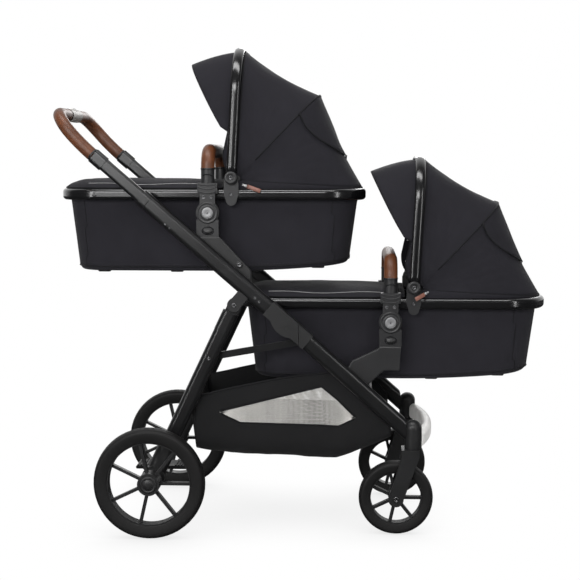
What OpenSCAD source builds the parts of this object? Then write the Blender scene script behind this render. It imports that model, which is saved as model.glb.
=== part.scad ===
// Twin pram: a tandem pushchair chassis that carries two identical carrycots.
// +X points forward, +Z up, the origin is on the floor under the middle of the pram.

/* [Wheels] */
// Diameter of a rear wheel over its tyre
rear_wheel_d = 290; // [270:1:300]
// Width of a rear tyre
rear_wheel_w = 45; // [40:1:48]
// Distance between the middles of the rear wheels
rear_track = 550; // [545:1:580]
// Diameter of a front wheel over its tyre
front_wheel_d = 194; // [184:1:198]
// Width of a front tyre
front_wheel_w = 40; // [34:1:42]
// Distance of the front axle ahead of the rear axle
wheel_base = 637; // [632:1:645]
// Distance that a front axle trails behind its swivel
castor_trail = 44; // [40:1:48]
// Number of spokes in a wheel
spoke_count = 7; // [5:1:9]

/* [Chassis] */
// Distance of the fold hub ahead of the rear axle
hub_run = 357; // [352:1:362]
// Height of the fold hub above the floor
hub_height = 548; // [542:1:554]
// Slope of the upper tubes, in degrees
upper_angle = 41; // [40:0.5:42]
// Height at which the front tubes meet the swivel axes of the castors
front_end_height = 259.3; // [255:0.1:264]
// Distance between the middles of the two side frames
frame_w = 400; // [398:1:410]
// Height of the main tube's oval section
tube_h = 43; // [40:1:44]
// Width of the main tube's oval section
tube_w = 26; // [24:1:27]
// Wall of the tubes
tube_wall = 2; // [1.5:0.1:2.4]
// Length of the upper tube from the fold hub to the telescope collar
upper_len = 484; // [470:1:490]
// Height of a rear leg's oval section
leg_h = 42; // [40:1:46]

/* [Handle] */
// Height of the sliding handle tube's oval section
slide_h = 34; // [32:1:35]
// Width of the sliding handle tube's oval section
slide_w = 18; // [16:1:19]
// Length of handle tube that stands out of the collar
slide_out = 186; // [180:1:195]
// Radius of the leather grip
grip_r = 16.5; // [15:0.5:18]
// Distance from the grip's lower end to the cross bar
grip_rise = 144; // [136:1:150]

/* [Carrycots] */
// Distance of the upper cot's hub ahead of the rear axle
upper_cot_run = 144.5; // [142:0.5:147]
// Height of the upper cot's hub above the floor
upper_cot_height = 839; // [836:1:842]
// Distance of the lower cot's hub ahead of the upper cot's hub
cot_step_run = 476; // [472:1:480]
// Distance of the lower cot's hub below the upper cot's hub
cot_step_drop = 284; // [282:1:286]
// Length of the rim behind the hub
rim_rear = 404; // [390:1:408]
// Length of the rim ahead of the hub
rim_front = 411; // [405:1:413]
// Width of the rim
rim_w = 330; // [324:1:331]
// Height of the rim's section
rim_h = 30; // [28:1:32]
// Width of the rim's section
rim_t = 20; // [18:1:22]
// Depth of the fabric tub below the middle of the rim
tub_depth = 202; // [194:1:206]
// Thickness of the mattress
mattress_t = 35; // [25:1:45]

/* [Hoods] */
// Height of the hood's arch above its pivot
arch_rise = 342; // [330:1:348]
// Width of the arch's band
arch_band = 26; // [22:1:28]
// Reach of the hood's peak behind the pivot
peak_run = 225; // [215:1:235]
// Height of the hood's peak above the pivot
peak_rise = 215; // [205:1:225]
// Lean of the arch towards the foot of the hood, in degrees
arch_lean_angle = 3; // [0:0.5:5]
// Reach of the sun visor ahead of the arch
visor_reach = 106; // [90:1:112]

/* [Basket] */
// Depth of the shopping basket at its middle
basket_depth = 200; // [180:1:210]

/* [Hidden] */
$fn = 48;
// Clearances: beside moving faces, at a seat, in a running fit, and the overrun of every cut
gap = 0.4;
seat_gap = 0.3;
run_gap = 0.05;
over = 1;

// Rear wheels
rear_r = rear_wheel_d / 2;
rear_tyre_deep = 28;
rear_rim_deep = 11;
rear_rim_r = rear_r - rear_tyre_deep;
rear_rim_inner_r = rear_rim_r - rear_rim_deep;
rear_hub_r = 29;
hub_cap_r = 22;
hub_cap_rise = 2;
rear_rim_w = 34;
spoke_w = 8;
spoke_t = 14;
rear_stub_r = 6;
stub_short = 8;

// Front wheels and castors
front_r = front_wheel_d / 2;
front_tyre_deep = 21;
front_rim_deep = 10.5;
front_rim_r = front_r - front_tyre_deep;
front_rim_inner_r = front_rim_r - front_rim_deep;
front_hub_r = 19;
front_rim_w = 30;
front_stub_r = 5;
castor_x_run = wheel_base + castor_trail;
castor_r = 22.5;
castor_base_z = 228;
castor_cyl_h = 52;
castor_stem_r = 6;
castor_stem_h = 46;
fork_gap = 3;
fork_t = 7;
fork_blade_w = 40;
fork_crown_h = 20;
fork_crown_rear = 30;
fork_crown_front = 16;

// Places of the main pieces in the side view, as [run, height]
front_reach = upper_cot_run + cot_step_run + rim_front;
handle_len = upper_len + slide_out + grip_rise;
grip_bend = 17;
up_dir = [-cos(upper_angle), sin(upper_angle)];
up_side = [sin(upper_angle), cos(upper_angle)];
lower_angle = atan2(hub_height - front_end_height, castor_x_run - hub_run);
down_dir = [cos(lower_angle), -sin(lower_angle)];
down_side = [sin(lower_angle), cos(lower_angle)];
housing_r = 17.5;
handle_run = hub_run + handle_len * up_dir[0] + grip_bend * up_side[0];
rear_reach = housing_r - handle_run;
axle_x = (rear_reach - front_reach) / 2;
hub = [axle_x + hub_run, hub_height];
axle = [axle_x, rear_r];
castor_x = axle_x + castor_x_run;
cot_upper = [axle_x + upper_cot_run, upper_cot_height];
cot_lower = cot_upper + [cot_step_run, -cot_step_drop];
frame_y = frame_w / 2;
tube_in_y = frame_y - tube_w / 2;
lower_len = (castor_x - hub[0]) / cos(lower_angle);

// Fold hub
hub_w = 32;
hub_up = 70;
hub_down = 66;
hub_bulge_r = 62;
hub_bulge_along = 10;
hub_bulge_rise = 30;
hub_drop = 8;
hub_split_run = 25;
hub_split_gap = 1;
tongue_r = 16;
tongue_t = 13;
fold_pin_r = 6;
fold_pivot = hub - hub_drop * up_side;
collar_len = 22;
telescope_lip = 0.8;
collar_lip = 2;

// Rear legs
leg_w = tube_w;
leg_pivot_along = 142;
leg_pivot_drop = 53;
leg_pivot = hub + leg_pivot_along * up_dir - leg_pivot_drop * up_side;
leg_vec = axle - leg_pivot;
leg_len = norm(leg_vec);
leg_dir = leg_vec / leg_len;
leg_tilt = atan2(leg_vec[0], leg_vec[1]);
knuckle_r = 18;
knuckle_t = 15;
ear_t = (leg_w - knuckle_t) / 2 - seat_gap;
clevis_cradle = 6;
ear_step = 2;
pin_head = 1;
leg_pin_r = 5;
leg_start = 22;
sleeve_len = 55;
sleeve_lip = 0.6;
axle_housing_r = 30;
axle_boss_r = 21;
axle_boss_gap = 0.6;
axle_tube_r = 11;
housing_w = 36;
foot_len = 104;
foot_lip = 4;
axle_collar_r = 15;
axle_collar_w = 14;

// Leg brace
brace_along = 155;
brace_pivot = leg_pivot + brace_along * leg_dir;
brace_pin_r = 4;
brace_w = 18;
brace_t = 5.5;
brace_y = frame_y - hub_w / 2 - seat_gap - brace_t;
brace_hook_along = 51;
brace_hook_drop = 15;
brace_hook = hub + brace_hook_along * down_dir - brace_hook_drop * down_side;
brace_vec = brace_hook - brace_pivot;
brace_len = norm(brace_vec);
brace_tilt = atan2(brace_vec[1], brace_vec[0]);
hook_exit = 116;
hook_slot = 40;
brace_tip = 9;

// Brake pedal
pedal_sleeve_r = 16;
pedal_y = -70;
pedal_w = 70;
pedal_front = 78;
pedal_back = 60;
pedal_t = 9;
pedal_rib_t = 4;
pedal_rib_h = 3;
pedal_rib_count = 5;
pedal_tread = (2 * pedal_rib_count - 1) * pedal_rib_t;

// Front bumper and cross bar
bumper_r = 13;
bumper_tall = 18;
bumper_bow = 32;
bumper_z = 250;
bumper_lead = 12;
cross_bar_along = 272;
cross_bar_rise = 5;
cross_bar_r = 11;

// Cot fittings, measured from the cot's hub
rim_z = 46;
rim_half = rim_w / 2;
rim_corner = 110;
rim_top = rim_z + rim_h / 2;
rim_mid = rim_half - rim_t / 2;
mount_out = 20;
mount_w = 58;
mount_low = 63;
block_h = 45;
hub_ring_r = 30;
hub_ring_out = 23;
neck_w = 40;
mount_collar_w = 52;
mount_collar_low = 50;
mount_top = 77;
socket_r = 18;
socket_h = 34;
peg_r = 10;
peg_len = 24;
spigot_w = 30;
spigot_t = 8;
spigot_h = 22;
button_r = 14.5;
button_deep = 9;
button_proud = 2;
button_travel = 3;
bracket_t = 16;
bumper_bar_r = 18;
bumper_bar_half = rim_half + 3;
bumper_bar_top = 178;
bumper_bar_corner = 47;
release_w = 24;
release_h = 14;
release_z = -46;
release_proud = 1.5;

// Bracket outlines, as points from the cot's hub along the side view
upper_arm_reach = 113;
upper_arm_drop = 122;
upper_bracket_shares = [[-0.24, 0], [0.28, 0], [1, 0.72], [1, 1], [0.84, 1.05], [-0.13, 0.27], [-0.24, 0.19]];
lower_foot_along = 181;
lower_foot_rise = 11.2;
lower_foot = hub + lower_foot_along * down_dir + lower_foot_rise * down_side;
lower_arm_reach = cot_lower[0] - lower_foot[0];
lower_arm_drop = cot_lower[1] - lower_foot[1];
lower_bracket_shares = [[-0.23, 0], [0.23, 0], [0.2, 0.53], [-0.14, 0.53], [-0.44, 0.82],
    [-0.62, 1], [-1, 0.65], [-0.83, 0.32], [-0.27, 0.05]];

// Tub, mattress and apron
tub_inset = rim_t + seat_gap;
tub_half = rim_half - tub_inset;
tub_corner = rim_corner - tub_inset;
tub_foot_taper = 24;
tub_head_taper = 25;
tub_side_taper = 5;
tub_wall = 5;
tub_rocker = 26;
tub_rocker_start = 20;
ring_step_count = 7;
mattress_inset = 8;
mattress_crown = 6;
apron_t = 5;
apron_crown = 16;
apron_front = 36;
apron_row_count = 14;
apron_col_count = 12;

// Hood, measured from the cot's hub
pivot = [60.5, 90.5];
tab_t = 4;
tab_w = 38;
tab_low = 18;
tab_foot_r = 14;
hood_pin_r = 5;
arch_t = 12;
arch_foot_r = 17;
arch_in = rim_half + tab_t + seat_gap;
arch_half = arch_in + arch_t / 2;
arch_corner = 118;
canopy_t = 4;
canopy_half = rim_half - gap;
canopy_back_half = rim_mid;
canopy_shift = arch_band / 2 + gap;
canopy_centre = [pivot[0] + canopy_shift, pivot[1] - 6];
canopy_top_drop = arch_t + gap;
canopy_gather = 12;
canopy_back_gap = 10;
canopy_row_count = 7;
canopy_col_count = 22;
arch_square = 4.2;
back_square = 3.4;
front_bulge = -9;
back_bulge = -8;
bow_r = 4;
bow_half = 140;
bow_corner = 130;
bow_clear = 9;
bow_foot_r = 10;
bow_foot_in = 152;
bow_foot_t = 8;
visor_row_count = 5;
visor_low_angle = 6.5;
visor_drop = 38;
visor_curve_share = 0.9;
visor_band = 18;
visor_tuck = 2;

// Basket, measured from the rear axle
basket_rear = 99;
basket_front_gap = 57;
basket_front = castor_x_run - basket_front_gap;
basket_half = tube_in_y - seat_gap;
basket_t = 4;
basket_row_count = 12;
basket_col_count = 18;
basket_square = 4.5;
basket_low_z = 198;
basket_run_shares = [0, 0, 0.017, 0.1, 0.195, 0.3, 0.408, 0.543, 0.66, 0.727, 0.805, 0.901, 1];
basket_top_shares = [0.77, 0.77, 0.78, 0.83, 0.89, 0.95, 1.01, 1.07, 1.1, 1.13, 0.97, 0.74, 0.51];
basket_low_shares = [0.71, 0.28, 0.07, 0.03, 0.01, 0, 0, -0.02, -0.04, -0.04, 0.03, 0.14, 0.25];
basket_half_shares = [0.985, 0.985, 0.985, 0.99, 0.99, 0.995, 1, 1, 1, 1, 1, 1, 0.99];
basket_rear_bow = 3;

// Handle
handle_mid = [hub[0], hub[1]] + handle_len * up_dir + grip_bend * up_side;
grip_corner = 62;
grip_ring_count = 6;
grip_side_count = 14;
housing_half = 56;
slide_in = 150;
slide_collar_h = 40;
slide_collar_w = 24;
slide_collar_len = 36;
handle_button_w = 15;
handle_button_len = 44;
handle_button_deep = 7;
handle_button_proud = 2;
handle_button_room = 3;

// Shared shapes

// An oval outline, long along X
module oval(h, w) {
    flat = (h - w) / 2;
    square([2 * flat, w], center = true);
    for (s = [-1, 1])
        translate([s * flat, 0])
            circle(d = w);
}

// Children and their mirror image on the other side of the pram
module pair() {
    children();
    mirror([0, 1, 0])
        children();
}

// The left side is the drawn one, the right side is its mirror image
module on_side(left) {
    mirror([0, left ? 0 : 1, 0])
        children();
}

// A side-view outline made solid from y to y + t
module plate(y, t) {
    translate([0, y + t, 0])
        rotate([90, 0, 0])
            linear_extrude(t)
                children();
}

// A straight oval bar from a side-view point, turned from upright towards the front
module bar(p, y, tilt, len, h, w) {
    translate([p[0], y, p[1]])
        rotate([0, tilt, 0])
            linear_extrude(len)
                oval(h, w);
}

// A round bar across the pram at a side-view point, from y to y + len
module across(p, y, len, r) {
    translate([p[0], y + len, p[1]])
        rotate([90, 0, 0])
            cylinder(h = len, r = r);
}

// Place children on a cot, whose own frame starts at its hub
module at_cot(c) {
    translate([c[0], 0, c[1]])
        children();
}

// A plan outline with round corners, anticlockwise from the front left
function plan_ring(x0, x1, half, r) = [
    for (q = [0:3], k = [0:ring_step_count])
        let (a = 90 * (q + k / ring_step_count),
             cx = (q == 0 || q == 3) ? x1 - r : x0 + r,
             cy = q < 2 ? half - r : r - half)
        [cx + r * cos(a), cy + r * sin(a)]];

// Closed rings stacked into one solid, with a flat cap on the first and the last
module ring_form(rows) {
    c = len(rows[0]);
    b = (len(rows) - 1) * c;
    points = [for (row = rows) each row];
    sides = [
        for (i = [0:len(rows) - 2], j = [0:c - 1])
            let (a = i * c, k = (j + 1) % c)
            each [[a + j, a + c + k, a + k], [a + j, a + c + j, a + c + k]]];
    caps = [
        for (j = [0:c / 2 - 2])
            let (k = c - 1 - j)
            each [[j, j + 1, k - 1], [j, k - 1, k],
                  [b + j + 1, b + j, b + k - 1], [b + k - 1, b + j, b + k]]];
    polyhedron(points, concat(sides, caps));
}

// A sheet with an outer and an inner face, both given as rows of points
module sheet_form(outer, inner) {
    r = len(outer);
    c = len(outer[0]);
    n = r * c;
    points = [for (row = concat(outer, inner)) each row];
    skins = [
        for (i = [0:r - 2], j = [0:c - 2])
            let (a = i * c + j, e = a + n)
            each [[a, a + c, a + c + 1], [a, a + c + 1, a + 1],
                  [e, e + c + 1, e + c], [e, e + 1, e + c + 1]]];
    ends = [
        for (j = [0:c - 2])
            let (a = j, b = (r - 1) * c + j)
            each [[a, a + 1, a + 1 + n], [a, a + 1 + n, a + n],
                  [b + 1, b, b + n], [b + 1, b + n, b + 1 + n]]];
    edges = [
        for (i = [0:r - 2])
            let (a = i * c, b = i * c + c - 1)
            each [[a + c, a, a + n], [a + c, a + n, a + c + n],
                  [b, b + c, b + c + n], [b, b + c + n, b + n]]];
    polyhedron(points, concat(skins, ends, edges));
}

// A rounded arch outline as [y, height] at a turn from 0 to 180 degrees
function arch_point(turn, half, rise, square) = [
    half * sign(cos(turn)) * pow(abs(cos(turn)), 2 / square),
    rise * pow(abs(sin(turn)), 2 / square)];

// Wheels

// A wheel's tyre with a rounded tread, at its own centre, axle along Z
module tyre(r, rim_r, w) {
    shoulder = w / 3;
    color("#1b1b1c")
        rotate_extrude()
            difference() {
                union() {
                    translate([rim_r, -w / 2])
                        square([r - rim_r - shoulder, w]);
                    translate([rim_r, shoulder - w / 2])
                        square([r - rim_r, w - 2 * shoulder]);
                    for (s = [-1, 1])
                        translate([r - shoulder, s * (w / 2 - shoulder)])
                            circle(r = shoulder);
                }
                translate([0, -w])
                    square([rim_r, 2 * w]);
            }
}

// A spoked rim with its hub, bored for the axle from the inner side
module spoked_rim(rim_r, inner_r, w, hub_r, bore_r, hub_len, cap_r) {
    color("#262628")
        difference() {
            union() {
                difference() {
                    translate([0, 0, -w / 2])
                        cylinder(h = w, r = rim_r, $fn = 96);
                    translate([0, 0, -w / 2 - over])
                        cylinder(h = w + 2 * over, r = inner_r, $fn = 96);
                }
                for (k = [0:spoke_count - 1])
                    rotate([0, 0, 360 * k / spoke_count])
                        translate([hub_r / 2, -spoke_w / 2, -spoke_t / 2])
                            cube([(inner_r + rim_r) / 2 - hub_r / 2, spoke_w, spoke_t]);
                translate([0, 0, -hub_len / 2])
                    cylinder(h = hub_len, r = hub_r);
                translate([0, 0, hub_len / 2])
                    cylinder(h = hub_cap_rise, r = cap_r);
            }
            translate([0, 0, -hub_len / 2 - over])
                cylinder(h = hub_len - stub_short + 2 * over, r = bore_r + run_gap);
        }
}

// Turn a wheel made on Z to its axle, outer face outwards
module on_axle(p, y) {
    translate([p[0], y, p[1]])
        rotate([-90, 0, 0])
            children();
}

module rear_tyre(left) {
    on_side(left)
        on_axle(axle, rear_track / 2)
            tyre(rear_r, rear_rim_r, rear_wheel_w);
}

module rear_wheel(left) {
    on_side(left)
        on_axle(axle, rear_track / 2)
            spoked_rim(rear_rim_r, rear_rim_inner_r, rear_rim_w, rear_hub_r, rear_stub_r,
                rear_wheel_w, hub_cap_r);
}

front_axle = [castor_x - castor_trail, front_r];

module front_tyre(left) {
    on_side(left)
        on_axle(front_axle, frame_y)
            tyre(front_r, front_rim_r, front_wheel_w);
}

// The front hub is bored right through for the fork's axle
module front_wheel(left) {
    spoke_len = (front_rim_r + front_rim_inner_r - front_hub_r) / 2;
    hub_len = front_wheel_w + 2 * (fork_gap - seat_gap);
    color("#262628")
        on_side(left)
            on_axle(front_axle, frame_y)
                difference() {
                    union() {
                        difference() {
                            cylinder(h = front_rim_w, r = front_rim_r, center = true, $fn = 96);
                            cylinder(h = front_rim_w + over, r = front_rim_inner_r, center = true, $fn = 96);
                        }
                        for (k = [0:spoke_count - 1])
                            rotate([0, 0, 360 * k / spoke_count])
                                translate([front_hub_r / 2, -spoke_w / 2, -spoke_t / 2])
                                    cube([spoke_len, spoke_w, spoke_t]);
                        cylinder(h = hub_len, r = front_hub_r, center = true);
                    }
                    cylinder(h = 2 * front_wheel_w, r = front_stub_r + run_gap, center = true);
                }
}

// Castor fork: a stem, a crown, two blades and the front axle
fork_in = front_wheel_w / 2 + fork_gap;
fork_crown_z = castor_base_z - seat_gap - fork_crown_h;

module fork_blade_outline() {
    translate(front_axle)
        circle(d = fork_blade_w);
    polygon([
        front_axle + [-fork_blade_w / 2, 0],
        front_axle + [fork_blade_w / 2, 0],
        [castor_x + fork_crown_front, fork_crown_z + over],
        [castor_x - fork_crown_rear, fork_crown_z + over]]);
    translate([castor_x - fork_crown_rear, fork_crown_z])
        square([fork_crown_rear + fork_crown_front, fork_crown_h]);
}

module castor_fork(left) {
    color("#2b2b2d")
        on_side(left) {
            for (y = [frame_y - fork_in - fork_t, frame_y + fork_in])
                plate(y, fork_t)
                    fork_blade_outline();
            translate([castor_x - fork_crown_rear, frame_y - fork_in - over, fork_crown_z])
                cube([fork_crown_rear + fork_crown_front, 2 * (fork_in + over), fork_crown_h]);
            translate([castor_x, frame_y, fork_crown_z])
                cylinder(h = fork_crown_h + castor_stem_h, r = castor_stem_r);
            across(front_axle, frame_y - fork_in - fork_t, 2 * (fork_in + fork_t), front_stub_r);
        }
}

module castor_housings() {
    color("#1d1d1e")
        pair()
            translate([castor_x, frame_y, castor_base_z])
                difference() {
                    union() {
                        cylinder(h = castor_cyl_h, r = castor_r);
                        translate([0, 0, castor_cyl_h])
                            sphere(r = castor_r);
                    }
                    translate([0, 0, -over])
                        cylinder(h = castor_stem_h + 2 * over, r = castor_stem_r + run_gap);
                }
}

// Chassis tubes

module main_tube(left) {
    color("#1f1f20")
        on_side(left)
            difference() {
                bar(hub + hub_up * up_dir, frame_y, upper_angle - 90, upper_len - hub_up, tube_h, tube_w);
                bar(hub + (hub_up - over) * up_dir, frame_y, upper_angle - 90,
                    upper_len - hub_up + 2 * over, tube_h - 2 * tube_wall, tube_w - 2 * tube_wall);
            }
}

module front_tube(left) {
    color("#1f1f20")
        on_side(left)
            difference() {
                bar(hub + hub_down * down_dir, frame_y, 90 + lower_angle, lower_len - hub_down,
                    tube_h, tube_w);
                translate([castor_x, frame_y, 0])
                    cylinder(h = hub_height, r = castor_r + seat_gap);
            }
}

module telescope_collars() {
    color("#262627")
        pair()
            difference() {
                bar(hub + upper_len * up_dir, frame_y, upper_angle - 90, collar_len,
                    tube_h + 2 * telescope_lip, tube_w + 2 * telescope_lip);
                bar(hub + (upper_len - over) * up_dir, frame_y, upper_angle - 90, collar_len + 2 * over,
                    slide_h + 2 * gap, slide_w + 2 * gap);
            }
}

// The fold hub is cut off at the upright split line
module fold_side(rear) {
    reach = hub_up + hub_down;
    translate([hub[0] + hub_split_run - (rear ? 2 * reach : -hub_split_gap), hub[1] - reach])
        square([2 * reach, 2 * reach]);
}

// The round swelling under the hub, level with the tube on top
module fold_bulge() {
    translate(hub)
        rotate(180 - upper_angle)
            intersection() {
                translate([hub_bulge_along, -hub_bulge_rise])
                    circle(r = hub_bulge_r);
                translate([-hub_down, -tube_h / 2])
                    square([hub_up + hub_down, hub_bulge_r]);
            }
}

module fold_hubs() {
    color("#2d2d2f")
        pair() {
            difference() {
                plate(frame_y - hub_w / 2, hub_w)
                    intersection() {
                        union() {
                            translate(hub)
                                rotate(180 - upper_angle)
                                    translate([-hub_down, -tube_h / 2])
                                        square([hub_up + hub_down, tube_h]);
                            fold_bulge();
                        }
                        fold_side(true);
                    }
                plate(frame_y - tongue_t / 2 - seat_gap, tongue_t + 2 * seat_gap)
                    fold_tongue(seat_gap);
                across(fold_pivot, frame_y - hub_w, 2 * hub_w, fold_pin_r + run_gap);
            }
        }
}

// The tongue of the front tube's socket, which the fold pin goes through
module fold_tongue(extra) {
    translate(fold_pivot)
        circle(r = tongue_r + extra);
    translate(fold_pivot - [0, tongue_r + extra])
        square([hub_split_run + hub_down / 2, 2 * (tongue_r + extra)]);
}

module fold_sockets() {
    color("#2d2d2f")
        pair() {
            difference() {
                union() {
                    plate(frame_y - hub_w / 2, hub_w)
                        intersection() {
                            translate(hub)
                                rotate(-lower_angle)
                                    translate([0, -tube_h / 2])
                                        square([hub_down, tube_h]);
                            fold_side(false);
                        }
                    plate(frame_y - tongue_t / 2, tongue_t)
                        intersection() {
                            fold_tongue(0);
                            translate(hub)
                                rotate(-lower_angle)
                                    translate([-hub_down, -tube_h])
                                        square([2 * hub_down, tube_h + tube_h / 2]);
                        }
                }
                across(fold_pivot, frame_y - hub_w, 2 * hub_w, fold_pin_r + run_gap);
            }
            across(fold_pivot, frame_y - hub_w / 2, hub_w, fold_pin_r);
        }
    color("#2d2d2f")
        on_side(false)
            across(brace_hook, frame_y - hub_w / 2 - brace_t, brace_t, brace_pin_r);
}

module frame_crossbar() {
    p = hub + cross_bar_along * down_dir + cross_bar_rise * down_side;
    color("#1f1f20")
        across(p, -tube_in_y, 2 * tube_in_y, cross_bar_r);
}

// A bowed bar between the two castor housings
module front_bumper() {
    half = frame_y;
    r = (half * half + bumper_bow * bumper_bow) / (2 * bumper_bow);
    sweep = asin(half / r);
    color("#b9b6b0")
        difference() {
            translate([castor_x + bumper_lead + bumper_bow - r, 0, bumper_z])
                rotate([0, 0, -sweep])
                    rotate_extrude(angle = 2 * sweep, $fn = 180)
                        translate([r, 0])
                            rotate(90)
                                oval(2 * bumper_r + bumper_tall, 2 * bumper_r);
            pair()
                translate([castor_x, frame_y, 0])
                    cylinder(h = hub_height, r = castor_r + seat_gap);
            pair()
                translate([0, frame_y, 0])
                    cube([2 * front_reach, frame_y, hub_height]);
        }
}

// Brackets that carry the cots, with a socket for the cot's spigot

module cot_bracket(c, reach, drop, shares) {
    difference() {
        plate(tube_in_y - bracket_t, bracket_t)
            polygon([for (s = shares) c + [s[0] * reach, -mount_low - s[1] * drop]]);
        translate([c[0] - spigot_w / 2 - gap, rim_half + (mount_out - spigot_t) / 2 - gap,
                   c[1] - mount_low - spigot_h - gap])
            cube([spigot_w + 2 * gap, spigot_t + 2 * gap, 2 * spigot_h]);
    }
}

module upper_cot_brackets() {
    color("#39393b")
        pair()
            cot_bracket(cot_upper, upper_arm_reach, upper_arm_drop, upper_bracket_shares);
}

module lower_cot_brackets() {
    color("#39393b")
        pair()
            cot_bracket(cot_lower, lower_arm_reach, lower_arm_drop, lower_bracket_shares);
}

// Rear legs

// Under each main tube, two ears and the pin that a rear leg hangs on
module leg_clevises() {
    ear_w = 2 * (knuckle_r - ear_step);
    w = knuckle_t + 2 * (ear_t + seat_gap);
    color("#2a2a2c")
        pair() {
            difference() {
                plate(frame_y - w / 2, w) {
                    translate(leg_pivot)
                        circle(r = knuckle_r);
                    translate(leg_pivot)
                        rotate(-upper_angle)
                            translate([-ear_w / 2, 0])
                                square([ear_w, leg_pivot_drop - tube_h / 2 + clevis_cradle]);
                }
                plate(frame_y - knuckle_t / 2 - seat_gap, knuckle_t + 2 * seat_gap)
                    translate(leg_pivot)
                        circle(r = knuckle_r + 2 * over);
                bar(hub, frame_y, upper_angle - 90, upper_len, tube_h + 2 * seat_gap, tube_w + 2 * seat_gap);
            }
            across(leg_pivot, frame_y - w / 2 - pin_head, w + 2 * pin_head, leg_pin_r);
        }
}

module rear_leg(left) {
    start = leg_pivot + leg_start * leg_dir;
    color("#1f1f20")
        on_side(left)
            difference() {
                union() {
                    bar(start, frame_y, leg_tilt, leg_len - leg_start, leg_h, leg_w);
                    bar(start, frame_y, leg_tilt, sleeve_len, leg_h + 2 * sleeve_lip, leg_w + 2 * sleeve_lip);
                    plate(frame_y - knuckle_t / 2, knuckle_t) {
                        translate(leg_pivot)
                            circle(r = knuckle_r);
                        translate(leg_pivot)
                            rotate(90 - leg_tilt)
                                translate([0, ear_step - knuckle_r])
                                    square([leg_start + over, 2 * (knuckle_r - ear_step)]);
                    }
                    if (!left)
                        across(brace_pivot, brace_y, frame_y - brace_y, brace_pin_r);
                }
                across(leg_pivot, frame_y - leg_h, 2 * leg_h, leg_pin_r + run_gap);
                across(axle, frame_y - leg_h, 2 * leg_h, axle_housing_r);
            }
}

// The housing that the foot of each leg stands in, with the boss that the wheel runs against
module axle_housings() {
    boss_end = (rear_track - rear_wheel_w) / 2 - axle_boss_gap;
    color("#2a2a2c")
        pair()
            difference() {
                union() {
                    across(axle, frame_y - housing_w / 2, housing_w, axle_housing_r);
                    across(axle, frame_y, boss_end - frame_y, axle_boss_r);
                    bar(axle, frame_y, leg_tilt - 180, foot_len, leg_h + 2 * foot_lip, leg_w + 2 * foot_lip);
                }
                difference() {
                    bar(axle, frame_y, leg_tilt - 180, leg_len, leg_h + 2 * seat_gap, leg_w + 2 * seat_gap);
                    across(axle, frame_y - housing_w, 2 * housing_w, axle_housing_r - seat_gap);
                }
                across(axle, 0, rear_track, rear_stub_r);
            }
}

// Cross tube between the housings, with a stub for each wheel and two collars beside the pedal
module rear_axle() {
    tube_half = frame_y - housing_w / 2;
    stub_half = (rear_track + rear_wheel_w) / 2 - stub_short;
    color("#1f1f20") {
        across(axle, -tube_half, 2 * tube_half, axle_tube_r);
        across(axle, -stub_half, 2 * stub_half, rear_stub_r);
        for (y = [pedal_y - pedal_w / 2 - gap - axle_collar_w, pedal_y + pedal_w / 2 + gap])
            across(axle, y, axle_collar_w, axle_collar_r);
    }
}

// The brace between the right leg and its fold socket, hooked on a peg at the front
module leg_braces() {
    color("#222223")
        on_side(false)
            plate(brace_y, brace_t)
                difference() {
                    translate(brace_pivot)
                        rotate(brace_tilt) {
                            circle(d = brace_w);
                            translate([0, -brace_w / 2])
                                square([brace_len, brace_w]);
                            translate([brace_len, 0])
                                circle(d = brace_w);
                        }
                    translate(brace_pivot)
                        circle(r = brace_pin_r + run_gap);
                    translate(brace_hook)
                        circle(r = brace_pin_r + gap);
                    translate(brace_hook)
                        rotate(hook_exit)
                            translate([0, -brace_pin_r - gap])
                                square([hook_slot, 2 * (brace_pin_r + gap)]);
                }
}

// Rocker pedal on the axle tube, with a ribbed tread at each end
module brake_pedal() {
    color("#2e2e30")
        difference() {
            plate(pedal_y - pedal_w / 2, pedal_w) {
                translate(axle)
                    circle(r = pedal_sleeve_r);
                translate(axle - [pedal_back, pedal_t / 2])
                    square([pedal_back + pedal_front, pedal_t]);
                for (s = [-pedal_back, pedal_front])
                    translate(axle + [s, 0])
                        circle(d = pedal_t);
                for (k = [0:pedal_rib_count - 1], x = [-pedal_back, pedal_front - pedal_tread])
                    translate(axle + [x + 2 * pedal_rib_t * k, pedal_t / 2])
                        square([pedal_rib_t, pedal_rib_h]);
            }
            across(axle, pedal_y - pedal_w, 2 * pedal_w, axle_tube_r + run_gap);
        }
}

// Handle

module handle_tubes() {
    color("#1f1f20")
        pair() {
            bar(hub + (upper_len - slide_in) * up_dir, frame_y, upper_angle - 90,
                slide_in + slide_out, slide_h, slide_w);
            bar(hub + (upper_len + slide_out - slide_collar_len) * up_dir, frame_y, upper_angle - 90,
                slide_collar_len, slide_collar_h, slide_collar_w);
        }
}

// The grip's path: up from the collar, round a corner and along the cross bar, bent upwards a little
function grip_point(along, y) = let (
        lift = grip_bend * pow(along / grip_rise, 2),
        p = hub + (upper_len + slide_out + along) * up_dir + lift * up_side)
    [p[0], y, p[1]];
grip_path = concat(
    [for (k = [0:grip_ring_count - 1]) [(grip_rise - grip_corner) * k / grip_ring_count, frame_y]],
    [for (k = [0:grip_ring_count])
        [grip_rise - grip_corner + grip_corner * sin(90 * k / grip_ring_count),
         frame_y - grip_corner + grip_corner * cos(90 * k / grip_ring_count)]],
    [for (k = [1:2]) [grip_rise, frame_y - grip_corner + (housing_half - frame_y + grip_corner) * k / 2]]);

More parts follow.
